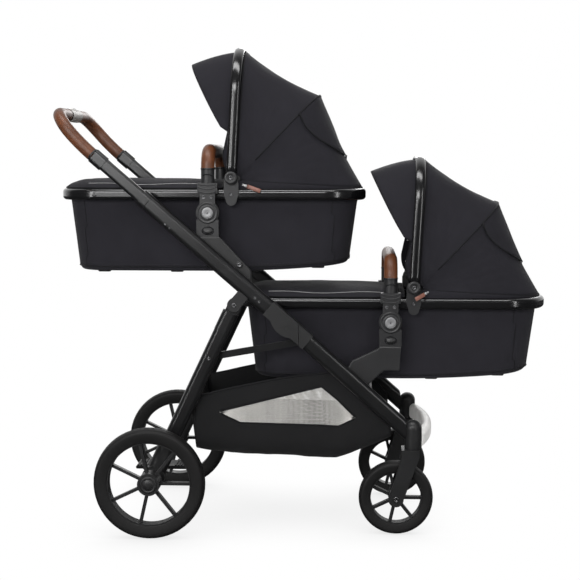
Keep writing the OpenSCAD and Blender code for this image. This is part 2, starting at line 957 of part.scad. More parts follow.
// A ring of the grip's section, square to the path
function grip_ring(k) = let (
        n = len(grip_path) - 1,
        a = grip_path[max(k - 1, 0)],
        b = grip_path[min(k + 1, n)],
        p = grip_point(grip_path[k][0], grip_path[k][1]),
        d = grip_point(b[0], b[1]) - grip_point(a[0], a[1]),
        t = k == n ? [0, -1, 0] : (k == 0 ? [up_dir[0], 0, up_dir[1]] : d / norm(d)),
        side = [up_side[0], 0, up_side[1]],
        flat = side - (side * t) * t,
        u = flat / norm(flat),
        w = cross(t, u))
    [for (j = [0:grip_side_count - 1])
        let (q = 360 * j / grip_side_count)
        p + grip_r * (cos(q) * u + sin(q) * w)];

module handle_grips() {
    color("#7a4424")
        pair()
            ring_form([for (k = [0:len(grip_path) - 1]) grip_ring(k)]);
}

module handle_housing() {
    color("#77777a")
        difference() {
            across(handle_mid, -housing_half, 2 * housing_half, housing_r);
            translate([handle_mid[0], 0, handle_mid[1] + housing_r - handle_button_deep - handle_button_room])
                linear_extrude(housing_r)
                    rotate(90)
                        oval(handle_button_len + 2 * gap, handle_button_w + 2 * gap);
        }
}

module handle_button() {
    color("#8d8d90")
        translate([handle_mid[0], 0, handle_mid[1] + housing_r - handle_button_deep])
            linear_extrude(handle_button_deep + handle_button_proud)
                rotate(90)
                    oval(handle_button_len, handle_button_w);
}

// Carrycots, each drawn from its hub

module cot_rim() {
    section_r = rim_corner - rim_t / 2;
    x0 = -rim_rear + rim_corner;
    x1 = rim_front - rim_corner;
    side = rim_half - rim_corner;
    color("#1d1d1e")
        translate([0, 0, rim_z]) {
            for (q = [0:3])
                translate([q == 0 || q == 3 ? x1 : x0, q < 2 ? side : -side, 0])
                    rotate([0, 0, 90 * q])
                        rotate_extrude(angle = 90, $fn = 96)
                            translate([section_r, 0])
                                rotate(90)
                                    oval(rim_h, rim_t);
            for (s = [-1, 1])
                translate([x0, s * rim_mid, 0])
                    rotate([0, 90, 0])
                        linear_extrude(x1 - x0)
                            oval(rim_h, rim_t);
            for (x = [-rim_rear + rim_t / 2, rim_front - rim_t / 2])
                translate([x, side, 0])
                    rotate([90, 0, 0])
                        linear_extrude(2 * side)
                            rotate(90)
                                oval(rim_h, rim_t);
        }
}

// Height of the tub's floor, which rises towards the head end
function rocker(x) = tub_rocker * pow(max(x - tub_rocker_start, 0) / (rim_front - tub_rocker_start), 2);

// One ring of the tub at a share of its depth, drawn in by a wall
function tub_ring(share, wall, z_lift) = [
    for (p = plan_ring(
            -rim_rear + tub_inset + tub_foot_taper * share + wall,
            rim_front - tub_inset - tub_head_taper * share - wall,
            tub_half - tub_side_taper * share - wall,
            tub_corner - tub_side_taper * share - wall))
        [p[0], p[1], rim_z - tub_depth * share + share * rocker(p[0]) + z_lift]];
tub_shares = [1, 0.94, 0.6, 0.3, 0];
floor_round = 10;

module cot_tub() {
    outer = [for (s = tub_shares) tub_ring(s, s == 1 ? floor_round : 0, 0)];
    inner = [for (s = [0, 0.3, 0.6, 1]) tub_ring(s, tub_wall, s == 1 ? tub_wall : 0)];
    color("#26262b")
        ring_form(concat(outer, inner));
}

module cot_mattress() {
    low = tub_wall + seat_gap;
    wall = tub_wall + mattress_inset;
    color("#e8e6e0")
        ring_form([
            tub_ring(1, wall + mattress_crown, low),
            tub_ring(1, wall, low + mattress_crown),
            tub_ring(1, wall, low + mattress_t - mattress_crown),
            tub_ring(1, wall + mattress_crown, low + mattress_t)]);
}

// The apron, a crowned cover over the foot half of the cot
apron_back = -rim_rear + rim_t / 2;
function apron_x(i) = apron_back + (apron_front - apron_back) * pow(i / apron_row_count, 1.5);
function apron_half(x) = let (r = rim_corner - rim_t / 2, in = max(apron_back + r - x, 0))
    rim_mid - r + sqrt(r * r - in * in);
function apron_top(x, v) = rim_top + seat_gap + apron_t
    + apron_crown * (1 - pow(abs(v), 3)) * (1 - pow((x - apron_back) / (apron_front - apron_back) - 0.4, 2));

module cot_apron() {
    rows = [for (i = [0:apron_row_count])
        [for (j = [0:apron_col_count])
            let (x = apron_x(i), v = 1 - 2 * j / apron_col_count)
            [x, v * apron_half(x), apron_top(x, v)]]];
    under = [for (row = rows) [for (p = row) p - [0, 0, apron_t]]];
    color("#2a2a2f")
        sheet_form(rows, under);
}

// The mount on each side: block, hub ring, neck over the rim and the bumper bar's socket
module cot_mounts() {
    color("#3b3b3d")
        pair()
            difference() {
                union() {
                    plate(rim_half, mount_out) {
                        translate([-mount_w / 2, -mount_low])
                            square([mount_w, block_h]);
                        circle(r = hub_ring_r);
                        translate([-neck_w / 2, 0])
                            square([neck_w, mount_top]);
                        translate([-mount_collar_w / 2, mount_collar_low])
                            square([mount_collar_w, mount_top - mount_collar_low]);
                    }
                    across([0, 0], rim_half, hub_ring_out, hub_ring_r - collar_lip);
                    plate(rim_half, mount_out + release_proud)
                        translate([0, release_z])
                            oval(release_w, release_h);
                    translate([-spigot_w / 2, rim_half + (mount_out - spigot_t) / 2, -mount_low - spigot_h])
                        cube([spigot_w, spigot_t, 2 * spigot_h]);
                    translate([0, bumper_bar_half, mount_top - over])
                        cylinder(h = socket_h + over, r = socket_r);
                }
                translate([0, bumper_bar_half, mount_top + socket_h - peg_len - gap])
                    cylinder(h = socket_h, r = peg_r + gap);
                across([0, 0], rim_half + hub_ring_out - button_deep - button_travel - gap, 2 * hub_ring_r,
                    button_r + gap);
            }
}

module cot_button(left) {
    color("#c9c9c8")
        on_side(left)
            across([0, 0], rim_half + hub_ring_out - button_deep, button_deep + button_proud, button_r);
}

// Bumper bar: a leather-covered arch that stands in the two sockets
module bumper_bar() {
    foot = mount_top + socket_h + seat_gap;
    top = bumper_bar_top - bumper_bar_r;
    rise = top - foot - bumper_bar_corner;
    inner = bumper_bar_half - bumper_bar_corner;
    color("#6d3d20")
        pair() {
            translate([0, bumper_bar_half, foot - peg_len])
                cylinder(h = peg_len + max(rise, 0) + over, r = peg_r);
            translate([0, inner, foot + rise])
                rotate([90, 0, 90])
                    rotate_extrude(angle = 90, $fn = 96)
                        translate([bumper_bar_corner, 0])
                            circle(r = bumper_bar_r);
            translate([0, -over, top])
                rotate([-90, 0, 0])
                    cylinder(h = inner + over, r = bumper_bar_r);
        }
}

// The plate on the rim that the hood pivots on, with its pin
module hood_brackets() {
    color("#39393b")
        pair() {
            plate(rim_half, tab_t) {
                translate(pivot)
                    circle(r = arch_foot_r);
                polygon([
                    pivot - [tab_w / 2, 0],
                    [pivot[0] - tab_w / 2, rim_z],
                    [pivot[0] - tab_foot_r, tab_low + tab_foot_r],
                    [pivot[0] + tab_foot_r, tab_low + tab_foot_r],
                    [pivot[0] + tab_w / 2, rim_z],
                    pivot + [tab_w / 2, 0]]);
                translate([pivot[0], tab_low + tab_foot_r])
                    circle(r = tab_foot_r);
            }
            across(pivot, bow_foot_in, arch_in + arch_t - bow_foot_in, hood_pin_r);
        }
}

// Places the arch and the visor at the pivot, leaning back
module leaned() {
    translate([pivot[0], 0, pivot[1]])
        rotate([0, arch_lean_angle, 0])
            children();
}

// The arch: a flattened tube bent over the cot, with a round foot on each pin
module hood_arch() {
    top = arch_rise - arch_t / 2;
    rise = top - arch_corner;
    inner = arch_half - arch_corner;
    color("#202021")
        leaned()
            pair() {
                difference() {
                    union() {
                        plate(arch_in, arch_t)
                            circle(r = arch_foot_r);
                        translate([0, arch_half, 0])
                            linear_extrude(rise)
                                oval(arch_band, arch_t);
                    }
                    across([0, 0], arch_in - over, arch_t + 2 * over, hood_pin_r + run_gap);
                }
                translate([0, inner, rise])
                    rotate([90, 0, 90])
                        rotate_extrude(angle = 90, $fn = 96)
                            translate([arch_corner, 0])
                                rotate(90)
                                    oval(arch_band, arch_t);
                translate([0, -over, top])
                    rotate([-90, 0, 0])
                        linear_extrude(inner + over)
                            oval(arch_band, arch_t);
            }
}

// The rear bow, a thin hoop inside the canopy's peak
module hood_bow() {
    lean = atan2(peak_run, peak_rise);
    top = norm([peak_run, peak_rise]) - bow_clear;
    rise = top - bow_corner;
    inner = bow_half - bow_corner;
    color("#202021")
        translate([pivot[0], 0, pivot[1]])
            rotate([0, lean, 0])
                pair() {
                    difference() {
                        union() {
                            plate(bow_foot_in, bow_foot_t)
                                circle(r = bow_foot_r);
                            plate(bow_half - bow_r, bow_foot_in + bow_foot_t - bow_half)
                                translate([-bow_r, hood_pin_r + over])
                                    square([2 * bow_r, bow_foot_r]);
                            translate([0, bow_half, bow_foot_r])
                                cylinder(h = rise - bow_foot_r, r = bow_r);
                        }
                        across([0, 0], bow_half, bow_foot_in + bow_foot_t + over - bow_half,
                            hood_pin_r + run_gap);
                    }
                    translate([0, inner, rise])
                        rotate([90, 0, 90])
                            rotate_extrude(angle = 90, $fn = 96)
                                translate([bow_corner, 0])
                                    circle(r = bow_r);
                    translate([0, -over, top])
                        rotate([-90, 0, 0])
                            cylinder(h = inner + over, r = bow_r);
                }
}

// The canopy: hoops that swing from the arch over the peak and down to the rim
arch_apex_len = pivot[1] + arch_rise - canopy_top_drop - canopy_centre[1];
arch_apex = arch_apex_len * [sin(arch_lean_angle), cos(arch_lean_angle)];
peak_apex = pivot + [peak_run, peak_rise] - canopy_centre;
back_apex = [rim_front - canopy_back_gap - canopy_centre[0], rim_top + gap - canopy_centre[1]];
function bulged(a, b, share, bulge) = let (d = b - a, out = [-d[1], d[0]] / norm(d))
    a + share * d + bulge * sin(180 * share) * out;
canopy_apexes = concat(
    [for (k = [0:canopy_row_count]) bulged(arch_apex, peak_apex, k / canopy_row_count, front_bulge)],
    [for (k = [1:canopy_row_count]) bulged(peak_apex, back_apex, k / canopy_row_count, back_bulge)]);
function canopy_hoop(k, wall) = let (
        apex = canopy_apexes[k],
        rise = norm(apex) - wall,
        dir = apex / norm(apex),
        share = k / (2 * canopy_row_count),
        half = canopy_half + (canopy_back_half - canopy_half) * share - wall,
        corner = arch_square + (back_square - arch_square) * share)
    [for (j = [0:canopy_col_count])
        let (q = arch_point(180 * j / canopy_col_count, half, rise - canopy_gather, corner),
             p = canopy_centre + (canopy_gather + q[1]) * dir)
        [p[0], q[0], p[1]]];

module hood_canopy() {
    color("#25252a")
        sheet_form(
            [for (k = [0:2 * canopy_row_count]) canopy_hoop(k, 0)],
            [for (k = [0:2 * canopy_row_count]) canopy_hoop(k, canopy_t)]);
}

// The sun visor: a curved flap sewn inside the arch, longest at the top
visor_half = arch_in - seat_gap;
visor_rise = pivot[1] + arch_rise - arch_t - seat_gap - canopy_centre[1];
visor_foot = canopy_centre[1] - pivot[1];
visor_low = arch_point(visor_low_angle, visor_half, visor_rise, arch_square)[1];
function visor_hoop(k, wall) = [
    for (j = [0:canopy_col_count])
        let (turn = visor_low_angle + (180 - 2 * visor_low_angle) * j / canopy_col_count,
             q = arch_point(turn, visor_half - wall, visor_rise - wall, arch_square),
             share = max(q[1] - visor_low, 0) / (visor_rise - visor_low),
             out = k / visor_row_count)
        [-visor_tuck - out * (visor_band + visor_reach * pow(share, visor_curve_share)),
         q[0],
         visor_foot + q[1] - visor_drop * share * pow(out, 1.5)]];

module hood_visor() {
    color("#25252a")
        leaned()
            sheet_form(
                [for (k = [0:visor_row_count]) visor_hoop(k, canopy_t)],
                [for (k = [0:visor_row_count]) visor_hoop(k, 0)]);
}

// Shopping basket: a fabric sling between the rear legs and the front tubes
function basket_section(i, wall) = let (
        x = axle_x + basket_rear + (basket_front - basket_rear) * basket_run_shares[i]
            + (i == 0 ? 0 : (i == 1 ? -basket_rear_bow : 0)) + (i < 2 ? wall : 0),
        top = basket_low_z + basket_depth * basket_top_shares[i],
        low = basket_low_z + basket_depth * basket_low_shares[i] + (i > 0 ? wall : 0),
        half = basket_half * basket_half_shares[i] - wall)
    [for (j = [0:basket_col_count])
        let (q = arch_point(180 * j / basket_col_count, half, top - low, basket_square))
        [x, q[0], top - q[1]]];

module shopping_basket() {
    color("#2b2b2d")
        sheet_form(
            [for (i = [0:basket_row_count]) basket_section(i, basket_t)],
            [for (i = [0:basket_row_count]) basket_section(i, 0)]);
}

main_tube(true);  // main_tube_left
main_tube(false);  // main_tube_right
front_tube(true);  // front_tube_left
front_tube(false);  // front_tube_right
fold_hubs();
fold_sockets();
telescope_collars();
leg_clevises();
upper_cot_brackets();
lower_cot_brackets();
castor_housings();
front_bumper();
frame_crossbar();
shopping_basket();
rear_leg(true);  // rear_leg_left
rear_leg(false);  // rear_leg_right
rear_axle();
axle_housings();
brake_pedal();
leg_braces();
rear_tyre(true);  // rear_tyre_left
rear_wheel(true);  // rear_wheel_left
rear_tyre(false);  // rear_tyre_right
rear_wheel(false);  // rear_wheel_right
castor_fork(true);  // castor_fork_left
castor_fork(false);  // castor_fork_right
front_tyre(true);  // front_tyre_left
front_wheel(true);  // front_wheel_left
front_tyre(false);  // front_tyre_right
front_wheel(false);  // front_wheel_right
handle_tubes();
handle_grips();
handle_housing();
handle_button();
at_cot(cot_upper) cot_rim();  // cot_rim_upper
at_cot(cot_upper) cot_tub();  // cot_tub_upper
at_cot(cot_upper) cot_apron();  // cot_apron_upper
at_cot(cot_upper) cot_mattress();  // cot_mattress_upper
at_cot(cot_upper) cot_mounts();  // cot_mounts_upper
at_cot(cot_upper) hood_brackets();  // hood_brackets_upper
at_cot(cot_upper) hood_arch();  // hood_arch_upper
at_cot(cot_upper) hood_bow();  // hood_bow_upper
at_cot(cot_upper) hood_canopy();  // hood_canopy_upper
at_cot(cot_upper) hood_visor();  // hood_visor_upper
at_cot(cot_upper) bumper_bar();  // bumper_bar_upper
at_cot(cot_upper) cot_button(true);  // cot_button_left_upper
at_cot(cot_upper) cot_button(false);  // cot_button_right_upper
at_cot(cot_lower) cot_rim();  // cot_rim_lower
at_cot(cot_lower) cot_tub();  // cot_tub_lower
at_cot(cot_lower) cot_apron();  // cot_apron_lower
at_cot(cot_lower) cot_mattress();  // cot_mattress_lower
at_cot(cot_lower) cot_mounts();  // cot_mounts_lower
at_cot(cot_lower) hood_brackets();  // hood_brackets_lower
at_cot(cot_lower) hood_arch();  // hood_arch_lower
at_cot(cot_lower) hood_bow();  // hood_bow_lower
at_cot(cot_lower) hood_canopy();  // hood_canopy_lower
at_cot(cot_lower) hood_visor();  // hood_visor_lower
at_cot(cot_lower) bumper_bar();  // bumper_bar_lower
at_cot(cot_lower) cot_button(true);  // cot_button_left_lower
at_cot(cot_lower) cot_button(false);  // cot_button_right_lower
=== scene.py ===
from math import acos, asin, atan2, copysign, cos, exp, pi, radians, sin, sqrt

import bmesh
import bpy
import numpy as np
from mathutils import Matrix, Vector


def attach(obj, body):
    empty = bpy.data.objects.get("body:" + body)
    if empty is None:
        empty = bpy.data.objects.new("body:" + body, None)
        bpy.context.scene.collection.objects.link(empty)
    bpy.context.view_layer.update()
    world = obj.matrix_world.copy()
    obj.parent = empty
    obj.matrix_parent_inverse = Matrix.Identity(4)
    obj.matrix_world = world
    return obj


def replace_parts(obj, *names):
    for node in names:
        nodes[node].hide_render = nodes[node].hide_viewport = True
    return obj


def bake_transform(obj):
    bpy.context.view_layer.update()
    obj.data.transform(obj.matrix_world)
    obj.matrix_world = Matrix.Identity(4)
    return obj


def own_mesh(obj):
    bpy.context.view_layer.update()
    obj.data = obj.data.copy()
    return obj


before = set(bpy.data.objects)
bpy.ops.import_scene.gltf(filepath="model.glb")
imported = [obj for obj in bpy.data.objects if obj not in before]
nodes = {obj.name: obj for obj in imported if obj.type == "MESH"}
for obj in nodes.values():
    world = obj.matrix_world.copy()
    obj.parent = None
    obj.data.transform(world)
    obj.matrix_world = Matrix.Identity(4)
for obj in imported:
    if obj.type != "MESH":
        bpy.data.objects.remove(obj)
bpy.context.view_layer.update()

# Sizes in millimetres, as in the part's source. Side-view points are (x, z).
AXLE_X = -383.91
HUB = np.array([AXLE_X + 357, 548.0])
REAR_R, REAR_Y = 145.0, 275.0
AXLE = np.array([AXLE_X, REAR_R])
FRONT_R = 97.0
FRONT_AXLE_X = AXLE_X + 681 - 44
FRAME_Y, TUBE_FACE = 200.0, 213.0
UP_ANGLE = radians(41)
# along the main tubes, and across them in the side view
UP = np.array([-cos(UP_ANGLE), sin(UP_ANGLE)])
ACROSS = np.array([sin(UP_ANGLE), cos(UP_ANGLE)])
LEG_TOP = HUB + 142 * UP - 53 * ACROSS
COTS = {"upper": np.array([AXLE_X + 144.5, 839.0]), "lower": np.array([AXLE_X + 620.5, 555.0])}
SIDES = {"left": 1, "right": -1}

# Sizes of one cot, from the middle of its mounts
RIM_REAR, RIM_FRONT, RIM_Z, RIM_TOP = 404.0, 411.0, 46.0, 61.0
# the tub's top edge lies inside the rim, and the tub narrows towards its bottom
TUB_DEPTH, TUB_INSET, TUB_HALF, TUB_CORNER = 202.0, 20.3, 144.7, 89.7
TAPER_REAR, TAPER_FRONT, TAPER_SIDE = 24, 25, 5
MOUNT_FACE = 185.0
BAR_HALF, BAR_R = 168.0, 18.0
PIVOT = np.array([60.5, 90.5])
ARCH_RISE, ARCH_T = 342.0, 12.0
LEAN = radians(3)
# the canopy's sections fan out from a centre beside the hood's pivot, over a low foot
CENTRE = PIVOT + [13.4, -6.0]
FOOT, CANOPY_HALF = 12.0, 164.6
PEAK = PIVOT + [225.0, 215.0]
UNDER_ARCH = PIVOT[1] + ARCH_RISE - ARCH_T - CENTRE[1]
# how square the hood's sections are, 2 being an ellipse
ARCH_SQUARE = 4.2


# Materials

def node_tree(name):
    m = bpy.data.materials.new(name)
    m.use_nodes = True
    return m, m.node_tree, m.node_tree.nodes["Principled BSDF"]


def plug(socket, value):
    """Links a socket to another or sets a constant on it."""
    if hasattr(value, "links"):
        socket.id_data.links.new(value, socket)
    else:
        socket.default_value = value


def setup(node, **sockets):
    """Plugs a node's sockets, with underscores for the spaces in their names."""
    for key, value in sockets.items():
        plug(node.inputs[key.replace("_", " ")], value)
    return node


def add(tree, kind, **sockets):
    return setup(tree.nodes.new("ShaderNode" + kind), **sockets)


def coords(tree, kind):
    return add(tree, "TexCoord").outputs[kind]


def ramp(tree, fac, *stops):
    r = add(tree, "ValToRGB")
    plug(r.inputs[0], fac)
    e = r.color_ramp.elements
    while len(e) < len(stops):
        e.new(0.5)
    for i, (pos, colour) in enumerate(stops):
        e[i].position = pos
        e[i].color = (*colour, 1)
    return r.outputs[0]


def bump(tree, height, strength, distance, **below):
    return add(tree, "Bump", Height=height, Strength=strength, Distance=distance, **below).outputs[0]


def math_node(tree, op, a, b):
    n = add(tree, "Math")
    n.operation = op
    plug(n.inputs[0], a)
    plug(n.inputs[1], b)
    return n.outputs[0]


def between(tree, fac, low, high):
    return add(tree, "MapRange", Value=fac, To_Min=low, To_Max=high).outputs[0]


def tint(c, k):
    return tuple(min(1.0, x * k) for x in c)


def hard(name, colour, rough, grain=900.0, depth=0.00012, coat=0.0, metal=0.0, wear=1.5, specular=0.5):
    """Paint, plastic, rubber or metal: fine grain, cloudy roughness and lighter worn edges."""
    m, t, b = node_tree(name)
    at = coords(t, "Object")
    cloud = add(t, "TexNoise", Vector=at, Scale=14.0, Detail=5.0, Roughness=0.6).outputs[0]
    fine = add(t, "TexNoise", Vector=at, Scale=grain, Detail=3.0).outputs[0]
    pointed = add(t, "NewGeometry").outputs["Pointiness"]
    edge = ramp(t, pointed, (0.52, (0, 0, 0)), (0.62, (1, 1, 1)))
    mix = add(t, "Mix")
    mix.data_type = "RGBA"
    setup(mix, Factor=math_node(t, "MULTIPLY", edge, 0.35),
          A=ramp(t, cloud, (0.3, tint(colour, 0.85)), (0.7, tint(colour, 1.15))),
          B=(*tint(colour, wear), 1))
    setup(b, Base_Color=mix.outputs["Result"], Roughness=between(t, cloud, rough - 0.06, rough + 0.06),
          Normal=bump(t, fine, 0.5, depth), Metallic=metal, Coat_Weight=coat, Coat_Roughness=0.18,
          Specular_IOR_Level=specular)
    return m


def cloth(name, colour, sheen, thread=0.0011, rough=0.85):
    """Plain weave, laid out on the piece's own UV map, which is in metres."""
    m, t, b = node_tree(name)
    at = coords(t, "UV")
    waves = []
    for direction in ("X", "Y"):
        w = add(t, "TexWave", Vector=at, Scale=0.314 / thread, Distortion=0.6, Detail=1.0, Detail_Scale=1.5)
        w.bands_direction = direction
        waves.append(w.outputs["Fac"])
    weave = math_node(t, "MAXIMUM", *waves)
    cloud = add(t, "TexNoise", Vector=at, Scale=9.0, Detail=6.0, Roughness=0.65).outputs[0]
    slub = 0.35
    shade = math_node(t, "ADD", math_node(t, "MULTIPLY", weave, slub),
                      math_node(t, "MULTIPLY", cloud, 1 - slub))
    setup(b, Base_Color=ramp(t, shade, (0.25, tint(colour, 0.7)), (0.75, tint(colour, 1.3))),
          Roughness=between(t, cloud, rough - 0.07, rough + 0.07), Normal=bump(t, weave, 0.35, 0.0004),
          Sheen_Weight=sheen, Sheen_Roughness=0.45, Specular_IOR_Level=0.15)
    return m


def leather(name, colour):
    """Pebbled grain over slow changes of shade."""
    m, t, b = node_tree(name)
    at = coords(t, "Object")
    cells = add(t, "TexVoronoi", Vector=at, Scale=420.0)
    cells.feature = "SMOOTH_F1"
    cloud = add(t, "TexNoise", Vector=at, Scale=22.0, Detail=6.0, Roughness=0.6).outputs[0]
    fine = add(t, "TexNoise", Vector=at, Scale=160.0, Detail=4.0).outputs[0]
    pebbles = bump(t, cells.outputs["Distance"], 0.35, 0.0005)
    dyed = ramp(t, cloud, (0.28, tint(colour, 0.62)), (0.52, colour), (0.75, tint(colour, 1.5)))
    setup(b, Base_Color=dyed, Roughness=between(t, cloud, 0.5, 0.36),
          Normal=bump(t, fine, 0.25, 0.0006, Normal=pebbles), Specular_IOR_Level=0.45)
    return m


PAINT = hard("satin_black_paint", (0.0055, 0.0055, 0.006), 0.3, grain=1500, depth=0.00002, coat=0.15)
GLOSS = hard("gloss_black_tube", (0.004, 0.004, 0.0045), 0.2, depth=0.000004, coat=0.4)
PLASTIC = hard("black_plastic", (0.0085, 0.0085, 0.009), 0.44, grain=700, depth=0.00016)
HUBGREY = hard("dark_grey_plastic", (0.014, 0.014, 0.015), 0.42, grain=700, depth=0.00016)
RUBBER = hard("tyre_rubber", (0.0058, 0.0055, 0.0056), 0.58, grain=500, depth=0.0002, wear=1.8,
              specular=0.28)
GREY = hard("grey_plastic", (0.84, 0.83, 0.81), 0.42, depth=0.00008, wear=1.1)
HANDLEGREY = hard("handle_grey_plastic", (0.28, 0.262, 0.245), 0.46, depth=0.00008)
CHROME = hard("button_chrome", (0.23, 0.23, 0.235), 0.4, grain=400, depth=0.00002, metal=0.35, wear=1.0)
STEEL = hard("screw_steel", (0.16, 0.16, 0.165), 0.35, grain=600, depth=0.00004, metal=1.0)
CLOTH = cloth("black_cloth", (0.0132, 0.0126, 0.016), sheen=0.05)
LINING = cloth("dark_lining", (0.012, 0.012, 0.014), sheen=0.04)
BINDING = cloth("black_binding", (0.007, 0.007, 0.008), thread=0.0016, sheen=0.04, rough=0.7)
BASKET = cloth("basket_cloth", (0.0085, 0.0085, 0.009), thread=0.0016, sheen=0.05, rough=0.75)
NET = cloth("basket_net", (0.46, 0.45, 0.43), thread=0.0016, sheen=0.05, rough=0.8)
KNIT = cloth("mattress_knit", (0.78, 0.77, 0.74), thread=0.0022, sheen=0.1)
LEATHER = leather("brown_leather", (0.096, 0.031, 0.0112))
STRAP = leather("strap_leather", (0.19, 0.08, 0.058))
ZIP = hard("zip_teeth", (0.34, 0.34, 0.34), 0.42, depth=0.00005, metal=0.4)
THREAD = cloth("stitch_thread", (0.09, 0.042, 0.02), thread=0.0006, sheen=0.1)
DARKTHREAD = cloth("dark_thread", (0.03, 0.03, 0.032), thread=0.0006, sheen=0.1)


# Mesh building: a piece collects patches and tubes, then becomes one object

def shares(count):
    return np.linspace(0, 1, count)


def circle(count):
    return np.linspace(0, 2 * pi, count, endpoint=False)


def run_along(p):
    """Distance from a path's start to each of its points."""
    return np.concatenate([[0], np.cumsum(np.linalg.norm(np.diff(p, axis=0), axis=1))])


def unit(rows):
    return rows / np.linalg.norm(rows, axis=1)[:, None]


def tangents(p):
    return unit(np.gradient(p, axis=0))


def spacing(p, axis):
    """Mean distance run over a grid's rows or columns, in metres, with one more step to close it."""
    d = np.linalg.norm(np.diff(p, axis=axis), axis=2).mean(axis=1 - axis)
    return np.cumsum([0, *d, d[0]]) / 1000


def link(o):
    bpy.context.scene.collection.objects.link(o)
    return o


class Piece:
    """A mesh in the making. One that is part of a cot takes points from the middle of the cot's mounts."""

    def __init__(self, name, cot=None):
        self.name = f"{name}_{cot}" if cot else name
        x, z = COTS[cot] if cot else (0, 0)
        self.origin = np.array([x, 0, z])
        self.verts, self.faces, self.uvs, self.mats, self.slots = [], [], [], [], []

    def _add(self, points, faces, uvs, mat):
        base = len(self.verts)
        self.verts += map(tuple, (np.reshape(points, (-1, 3)) + self.origin) / 1000)
        self.faces += [[base + i for i in face] for face in faces]
        self.uvs += uvs
        if mat not in self.slots:
            self.slots.append(mat)
        self.mats += [self.slots.index(mat)] * len(faces)
        return self

    def patch(self, points, mat, close_u=False, close_v=False, flip=False):
        """A grid of points (rows, columns, xyz) in millimetres, with a UV map in metres."""
        p = np.asarray(points, float)
        n, m = p.shape[:2]
        u, v = spacing(p, 0), spacing(p, 1)
        quads = [[(i, j), (i + 1, j), (i + 1, j + 1), (i, j + 1)][::-1 if flip else 1]
                 for i in range(n if close_u else n - 1) for j in range(m if close_v else m - 1)]
        faces = [[a % n * m + b % m for a, b in quad] for quad in quads]
        return self._add(p, faces, [[(u[a], v[b]) for a, b in quad] for quad in quads], mat)

    def fan(self, ring, mat, flip=False):
        """A cap over a ring of points."""
        n = len(ring)
        faces = [[j, (j + 1) % n, n][::-1 if flip else 1] for j in range(n)]
        uvs = [[(0, 0), (0.002, 0), (0, 0.002)]] * n
        return self._add([*ring, np.mean(ring, axis=0)], faces, uvs, mat)

    def tube(self, path, radius, mat, sides=8, closed=False, flat=1.0, up=None):
        """A tube along a path in millimetres, flat being its size towards up over its size across."""
        p = np.asarray(path, float)
        t = unit(np.roll(p, -1, 0) - np.roll(p, 1, 0)) if closed else tangents(p)
        fixed = up is not None
        start = (0, 0, 1) if abs(t[0][2]) < 0.9 else (1, 0, 0)
        u = base = np.array(up if fixed else start, float)
        a = circle(sides)[:, None]
        rings = []
        for point, along, r in zip(p, t, np.broadcast_to(radius, len(p))):
            if not fixed:
                base = u
            u = base - (base @ along) * along
            u /= np.linalg.norm(u)
            rings.append(point + r * (np.cos(a) * u * flat + np.sin(a) * np.cross(along, u)))
        self.patch(rings, mat, close_u=closed, close_v=True, flip=True)
        if not closed:
            self.fan(rings[0], mat, flip=True)
            self.fan(rings[-1], mat)
        return self

    def stitches(self, path, mat, pitch=6.0, length=3.8, r=0.45):
        """A row of stitches lying along a path."""
        p = np.asarray(path, float)
        s = run_along(p)
        for a in np.arange(pitch / 2, s[-1] - length, pitch):
            ends = [[np.interp(x, s, p[:, k]) for k in range(3)] for x in (a, a + length / 2, a + length)]
            self.tube(ends, [r * 0.6, r, r * 0.6], mat, sides=5)
        return self

    def lathe(self, profile, centre, axis, mat, segs=32):
        """A turned form: profile of (radius, height) along an axis from a centre."""
        axis = np.array(axis, float) / np.linalg.norm(axis)
        u = np.cross(axis, (0.3, 0.5, 0.8))
        u /= np.linalg.norm(u)
        a = circle(segs)[:, None]
        turn = np.cos(a) * u + np.sin(a) * np.cross(axis, u)
        rows = [np.array(centre, float) + max(r, 0.01) * turn + h * axis for r, h in profile]
        return self.patch(rows, mat, close_v=True)

    def boss(self, profile, at, y, sy, mat, segs):
        """A turned form that stands out to a side, at a side-view point and a distance from the middle."""
        return self.lathe(profile, (at[0], sy * y, at[1]), (0, sy, 0), mat, segs)

    def make(self, slot, body=None):
        me = bpy.data.meshes.new(self.name)
        me.from_pydata(self.verts, [], self.faces)
        uv = me.uv_layers.new(name="UVMap")
        uv.data.foreach_set("uv", np.array([c for f in self.uvs for c in f], np.float32).ravel())
        me.polygons.foreach_set("material_index", self.mats)
        for mat in self.slots:
            me.materials.append(mat)
        b = bmesh.new()
        b.from_mesh(me)
        bmesh.ops.remove_doubles(b, verts=b.verts, dist=1e-6)
        bmesh.ops.dissolve_degenerate(b, edges=b.edges, dist=1e-7)
        b.to_mesh(me)
        b.free()
        me.polygons.foreach_set("use_smooth", [True] * len(me.polygons))
        me.update()
        o = link(bpy.data.objects.new(self.name, me))
        if body:
            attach(o, body)
        return o


def modify(o, kind, **settings):
    mod = o.modifiers.new(kind.lower(), kind)
    for key, value in settings.items():
        setattr(mod, key, value)


def settle(o):
    """Applies a piece's modifiers, so that it is a plain mesh."""
    bpy.context.view_layer.update()
    me = bpy.data.meshes.new_from_object(o.evaluated_get(bpy.context.evaluated_depsgraph_get()))
    o.modifiers.clear()
    old, o.data = o.data, me
    bpy.data.meshes.remove(old)


def thicken(o, mm, levels=0):
    """Gives a cloth its thickness inwards, and returns the area in square metres that it had before."""
    area = sum(p.area for p in o.data.polygons)
    modify(o, "SOLIDIFY", thickness=mm / 1000, offset=-1.0, use_quality_normals=True)
    if levels:
        modify(o, "SUBSURF", levels=levels, render_levels=levels)
    settle(o)
    return area


def black_cloth(name, cot, points, mm, mat=CLOTH, flip=False, levels=0):
    """A cot's cloth, and its area."""
    o = Piece(name, cot).patch(points, mat, flip=flip).make("black_cloth")
    return o, thicken(o, mm, levels)


